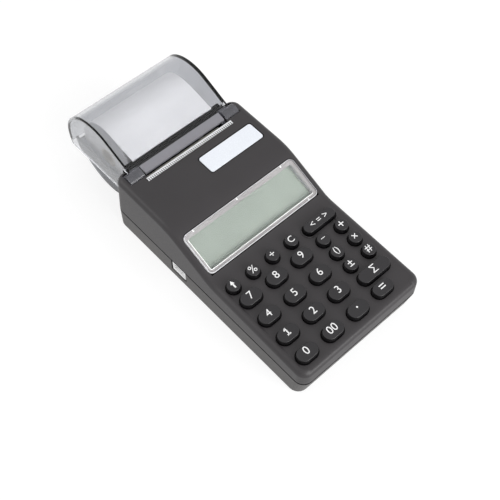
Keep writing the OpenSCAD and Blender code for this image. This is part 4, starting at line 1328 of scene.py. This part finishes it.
# %% Cover
COVER_EDGE_W = 1.1 * MM
COVER_ROUND = 0.22 * MM
FLAP_REAR = hinge_y + 2.6 * MM
cover = recast("roll_cover", "cover_moulding")
soften(cover, COVER_ROUND, 2)
focus(cover)
bpy.ops.object.mode_set(mode="EDIT")
for side in (-1, 1):
    bpy.ops.mesh.select_all(action="SELECT")
    bpy.ops.mesh.bisect(plane_co=(side * (cover_half - COVER_EDGE_W), 0, 0), plane_no=(1, 0, 0))
bpy.ops.object.mode_set(mode="OBJECT")
smooth(cover, 30)
print("cover moulding:", len(cover.data.polygons), "faces")

# %% Finishes of the cover's places
ROOF_LOW_Z = hinge_z + 6 * MM
TURNED = 0.3
END_WALL = 0.7
EAR_SIDE = 0.95
SLOPING = 0.25
# EDGE marks the painted shade at the ends of the roof, and the last index the painted highlight on the round
# edges of the flap and the ears
SMOKE, EDGE, FLAP, EAR, PAINTED_HIGHLIGHT = range(5)


def cover_place(spot, normal):
    """Which finish a face of the cover has, by its place and its normal."""
    across = abs(normal.x)
    if abs(spot.x) > cover_half - COVER_EDGE_W and across < END_WALL and spot.z > ROOF_LOW_Z:
        return EDGE
    if spot.y < FLAP_REAR and spot.z > hinge_z and abs(spot.x) < slot_half:
        return PAINTED_HIGHLIGHT if across > TURNED or SLOPING < normal.z < LEVEL else FLAP
    if max(abs(spot.y - hinge_y), abs(spot.z - hinge_z)) < ear_r + NEAR:
        return PAINTED_HIGHLIGHT if TURNED < across < EAR_SIDE else EAR
    return SMOKE


for face in cover.data.polygons:
    face.material_index = cover_place(face.center, face.normal)
stand_in(cover, "roll_cover", "cover_clear", cover_smoke, cover_edge_painted_shade, cover_flap, cover_ear, cover_painted_highlight)

# %% [markdown]
# ## The paper roll
#
# Thermal paper is wound on a card core. From the side the roll shows its edge, hundreds of fine rings. The
# roll is a circle that is inset to the bore, opened and drawn out along its axis, and the rings are a wave
# texture centred on that axis with a Mapping node.

# %% The finish of the wound ends
roll_low, roll_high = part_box("paper_roll")
roll_y = (roll_low.y + roll_high.y) / 2
roll_z = (roll_low.z + roll_high.z) / 2
roll_r = (roll_high.y - roll_low.y) / 2
core_low, core_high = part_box("roll_core")
core_r = (core_high.y - core_low.y) / 2
paper_ends, tree, shader = new_finish("paper_ends")
where = tree.nodes.new("ShaderNodeTexCoord")
centred = tree.nodes.new("ShaderNodeMapping")
centred.inputs["Location"].default_value = (0, -roll_y, -roll_z)
link(tree, where.outputs["Object"], centred.inputs["Vector"])
rings = tree.nodes.new("ShaderNodeTexWave")
rings.wave_type = "RINGS"
rings.rings_direction = "X"
rings.inputs["Scale"].default_value = 900
rings.inputs["Distortion"].default_value = 1.5
rings.inputs["Detail"].default_value = 3
link(tree, centred.outputs["Vector"], rings.inputs["Vector"])
link(tree, add_mix(tree, rings.outputs["Fac"], colour(206, 205, 205), colour(236, 236, 236)),
     shader.inputs["Base Color"])
shader.inputs["Roughness"].default_value = 0.8
add_bump(tree, shader, rings.outputs["Fac"], 0.02 * MM)
print("roll radius", round(roll_r / MM, 1), "mm")

# %% Roll
CORE_PLAY = 0.05 * MM
ROLL_ROUND = 0.25 * MM
clear_bench()
bpy.ops.mesh.primitive_circle_add(vertices=160, radius=roll_r, fill_type="NGON",
                                  location=(0, 0, roll_low.x))
roll = begin("wound_paper")
pick("FACE", lambda f: True)
bpy.ops.mesh.inset(thickness=roll_r - core_r - CORE_PLAY, depth=0)
bpy.ops.mesh.delete(type="FACE")
bpy.ops.mesh.select_all(action="SELECT")
rise(roll_high.x - roll_low.x)
heal(roll)
soften(roll, ROLL_ROUND, 3, 40)
smooth(roll, 40)
put(roll, Matrix.Translation((0, roll_y, roll_z)) @ Matrix.Rotation(math.pi / 2, 4, "Y"))
for face in roll.data.polygons:
    face.material_index = 1 if abs(face.normal.x) > 0.5 else 0
stand_in(roll, "paper_roll", "paper", paper_white, paper_ends)

# %% [markdown]
# The loose end of the paper leaves the roll along its tangent and turns down just behind the rear wall. It
# is made from one narrow plane: its front edge is extruded again and again along the path, and Solidify
# gives it the thickness of paper.

# %% Loose end
PAPER_T = 0.12 * MM
WEB_BEND_R = 1.2 * MM
WEB_BEND_STEPS = 5
WEB_BACK = 8.6 * MM
WEB_SUNK = 0.1 * MM
WEB_HANG = 4 * MM
SAME = 0.001 * MM
web_turn = Vector((hinge_y + WEB_BACK, wall_top_z - WEB_SUNK))
roll_middle = Vector((roll_y, roll_z))
reach = (roll_middle - web_turn).length
tilt = math.atan2(roll_z - web_turn.y, roll_y - web_turn.x) + math.asin((roll_r + PAPER_T) / reach)
away = math.sqrt(reach**2 - (roll_r + PAPER_T) ** 2)
web_start = web_turn + away * Vector((math.cos(tilt), math.sin(tilt)))
bend_middle = web_turn + WEB_BEND_R * Vector((math.sin(tilt), -math.cos(tilt)))
turns = [tilt + math.pi / 2 + (math.pi / 2 - tilt) * i / WEB_BEND_STEPS for i in range(WEB_BEND_STEPS + 1)]
route = [web_start] + [bend_middle + WEB_BEND_R * Vector((math.cos(a), math.sin(a))) for a in turns]
route.append(route[-1] - Vector((0, WEB_HANG)))
first_step = route[0] - route[1]
clear_bench()
bpy.ops.mesh.primitive_plane_add(size=1, location=(0, 0, 0))
bpy.context.object.scale = (roll_high.x - roll_low.x, first_step.length, 1)
web = begin("paper_end")
bpy.ops.mesh.select_all(action="SELECT")
bpy.ops.mesh.subdivide(number_cuts=1)
bpy.ops.object.mode_set(mode="OBJECT")
lean = math.atan2(first_step.y, first_step.x)
put(web, Matrix.Translation((0, *((route[0] + route[1]) / 2))) @ Matrix.Rotation(lean, 4, "X"))
bpy.ops.object.mode_set(mode="EDIT")
for before, after in zip(route[1:], route[2:]):
    pick("VERT", lambda v: abs(v.co.y - before.x) < SAME and abs(v.co.z - before.y) < SAME)
    pull((0, *(after - before)))
bpy.ops.object.mode_set(mode="OBJECT")
heal(web)
modify(web, "SOLIDIFY", thickness=PAPER_T, offset=0)
smooth(web, 60)
add_on(web, "register", "paper", paper_white)

# %% [markdown]
# ## The side port
#
# The port is a white housing in the left wall, with a tongue inside that carries the contacts. The
# housing's mesh is copied from the frame and gets soft edges. The tongue is a slab with five contact
# strips.

# %% Port
PORT_ROUND = 0.3 * MM
port_low, port_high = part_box("side_connector")
port_y = (port_low.y + port_high.y) / 2
port_z = (port_low.z + port_high.z) / 2
port = recast("side_connector", "port_shell")
soften(port, PORT_ROUND, 3)
smooth(port)
stand_in(port, "side_connector", "connector_metal", port_white)

# %% Tongue and contacts
TONGUE_L = 8 * MM
TONGUE_SHARE = 0.62
TONGUE_HALF_T = 0.8 * MM
TONGUE_IN = 0.5 * MM
TONGUE_ROUND = 0.5 * MM
STRIP_L = 6.8 * MM
STRIP_W = 0.6 * MM
STRIP_T = 0.1 * MM
STRIP_ROUND = 0.1 * MM
STRIP_PITCH = 1.2 * MM
STRIP_BACK = 0.2 * MM
tongue = slab("port_tongue", TONGUE_L, (port_high.y - port_low.y) * TONGUE_SHARE, TONGUE_ROUND,
              -TONGUE_HALF_T, TONGUE_HALF_T)
tongue_x = port_high.x - TONGUE_L / 2 - TONGUE_IN
put(tongue, Matrix.Translation((tongue_x, port_y, port_z)))
add_on(tongue, "register", "connector_metal", port_white)
strips = []
for place in range(-2, 3):
    strip = slab("contact_strip", STRIP_L, STRIP_W, STRIP_ROUND, TONGUE_HALF_T, TONGUE_HALF_T + STRIP_T)
    strip_y = port_y + place * STRIP_PITCH
    strips.append(put(strip, Matrix.Translation((tongue_x - STRIP_BACK, strip_y, port_z))))
add_on(join(strips, "port_contacts"), "register", "connector_metal", contact_metal)

# %% [markdown]
# ## The seam
#
# All round the casing one sees a fine dark line where the two shells meet. It is drawn with painted shade:
# a black ring between their walls, set back a little from both, so the line stays dark in any light.

# %% Ring of painted shade behind the seam
LIP_IN = 0.12 * MM
LIP_W = 1.6 * MM
LIP_BELOW = 0.4 * MM
LIP_ABOVE = 1.2 * MM
lip_w = case_w - 2 * LIP_IN
lip_len = case_len - 2 * LIP_IN
seam_shade_ring = slab("seam_painted_shade", lip_w, lip_len, corner_r - LIP_IN, parting_z - LIP_BELOW, parting_z + LIP_ABOVE)
hollow = slab("seam_shade_ring_tool", lip_w - 2 * LIP_W, lip_len - 2 * LIP_W, corner_r - LIP_IN - LIP_W,
              parting_z - ABOVE, parting_z + ABOVE)
cut(seam_shade_ring, hollow)
put(seam_shade_ring, Matrix.Translation((0, front_y + case_len / 2, 0)))
# The ring is painted shade: black without shine, so the seam reads as a shadowed gap
add_on(seam_shade_ring, "register", "lower_shell", painted_shade_black)

# %% [markdown]
# Just behind the rear wall a black rest takes the loose end of the paper. It is a bar with a thicker block
# at each end, just outside the paper's edges, which keeps the paper in line. Its black is painted shade,
# which carries the dark band along the rear wall's top on up to the paper.

# %% Paper rest, in painted shade
REST_H = 3 * MM
REST_BAR = (58 * MM, 1.6 * MM, 0.2 * MM)
REST_BLOCK = (4.6 * MM, 2.8 * MM, 0.3 * MM)
REST_BLOCK_X = 31.2 * MM
REST_BACK = 6.5 * MM
REST_BAR_SUNK = 0.05 * MM
rest_y = hinge_y + REST_BACK
rest_low_z = wall_top_z - REST_H


def rest_part(name, footprint, x, top_z):
    """A part of the rest by its length, width and corner radius, with its front in line with the others."""
    part = slab(name, *footprint, rest_low_z, top_z)
    return put(part, Matrix.Translation((x, rest_y + footprint[1] / 2, 0)))


rest_parts = [rest_part("rest_bar", REST_BAR, 0, wall_top_z - REST_BAR_SUNK)]
rest_parts += [rest_part("rest_block", REST_BLOCK, side * REST_BLOCK_X, wall_top_z) for side in (-1, 1)]
# The rest's black is painted shade
add_on(join(rest_parts, "paper_rest_painted_shade"), "register", "upper_shell", painted_shade_black)

# %% [markdown]
# ## The tear bar
#
# The cutter is a strip of spring steel with a row of fine teeth. Each tooth is the same prism, so one is
# modelled and an Array modifier repeats it at the pitch of the teeth. A strip behind them joins them, and a
# leg hangs from it along the front of the paper slot.

# %% Cutter
TOOTH_PITCH = 1.25 * MM
TOOTH_W = 0.75 * MM
LEAF_FRONT = -1.9 * MM
LEAF_REAR = 0.6 * MM
SPINE_W = 0.7 * MM
SPINE_ROUND = 0.2 * MM
LEAF_T = 0.5 * MM
LEAF_TOP = 0.15 * MM
TOOTH_ROUND = 0.12 * MM
LEG_H = 3.3 * MM
LEG_T = 0.5 * MM
LEG_ROUND = 0.1 * MM
LEG_SUNK = 0.1 * MM
LEG_FORWARD = 0.3 * MM
LEG_SHORTER = 1 * MM
tear_w = tear_high.x - tear_low.x
count = int((tear_w - TOOTH_W) / TOOTH_PITCH) + 1
tooth_rear = LEAF_REAR - SPINE_W / 2
tooth = slab("cutter", TOOTH_W, tooth_rear - LEAF_FRONT, TOOTH_ROUND, LEAF_TOP - LEAF_T, LEAF_TOP)
put(tooth, Matrix.Translation((-(count - 1) / 2 * TOOTH_PITCH, (LEAF_FRONT + tooth_rear) / 2, 0)))
soften(tooth, TOOTH_ROUND, 2)
modify(tooth, "ARRAY", count=count, use_relative_offset=False, use_constant_offset=True,
       constant_offset_displace=(TOOTH_PITCH, 0, 0))
spine = slab("cutter_spine", tear_w, SPINE_W, SPINE_ROUND, LEAF_TOP - LEAF_T, LEAF_TOP)
put(spine, Matrix.Translation((0, LEAF_REAR - SPINE_W / 2, 0)))
leg_top = LEAF_TOP - LEG_SUNK
leg = slab("cutter_leg", 2 * slot_half - LEG_SHORTER, LEG_T, LEG_ROUND, leg_top - LEG_H, leg_top)
put(leg, Matrix.Translation((0, LEAF_REAR - LEG_FORWARD, 0)))
cutter = join([tooth, spine, leg], "cutter")
put(cutter, on_face(0, slot_y - front_y))
stand_in(cutter, "tear_bar", "tear_steel", tear_steel)
print(count, "teeth")
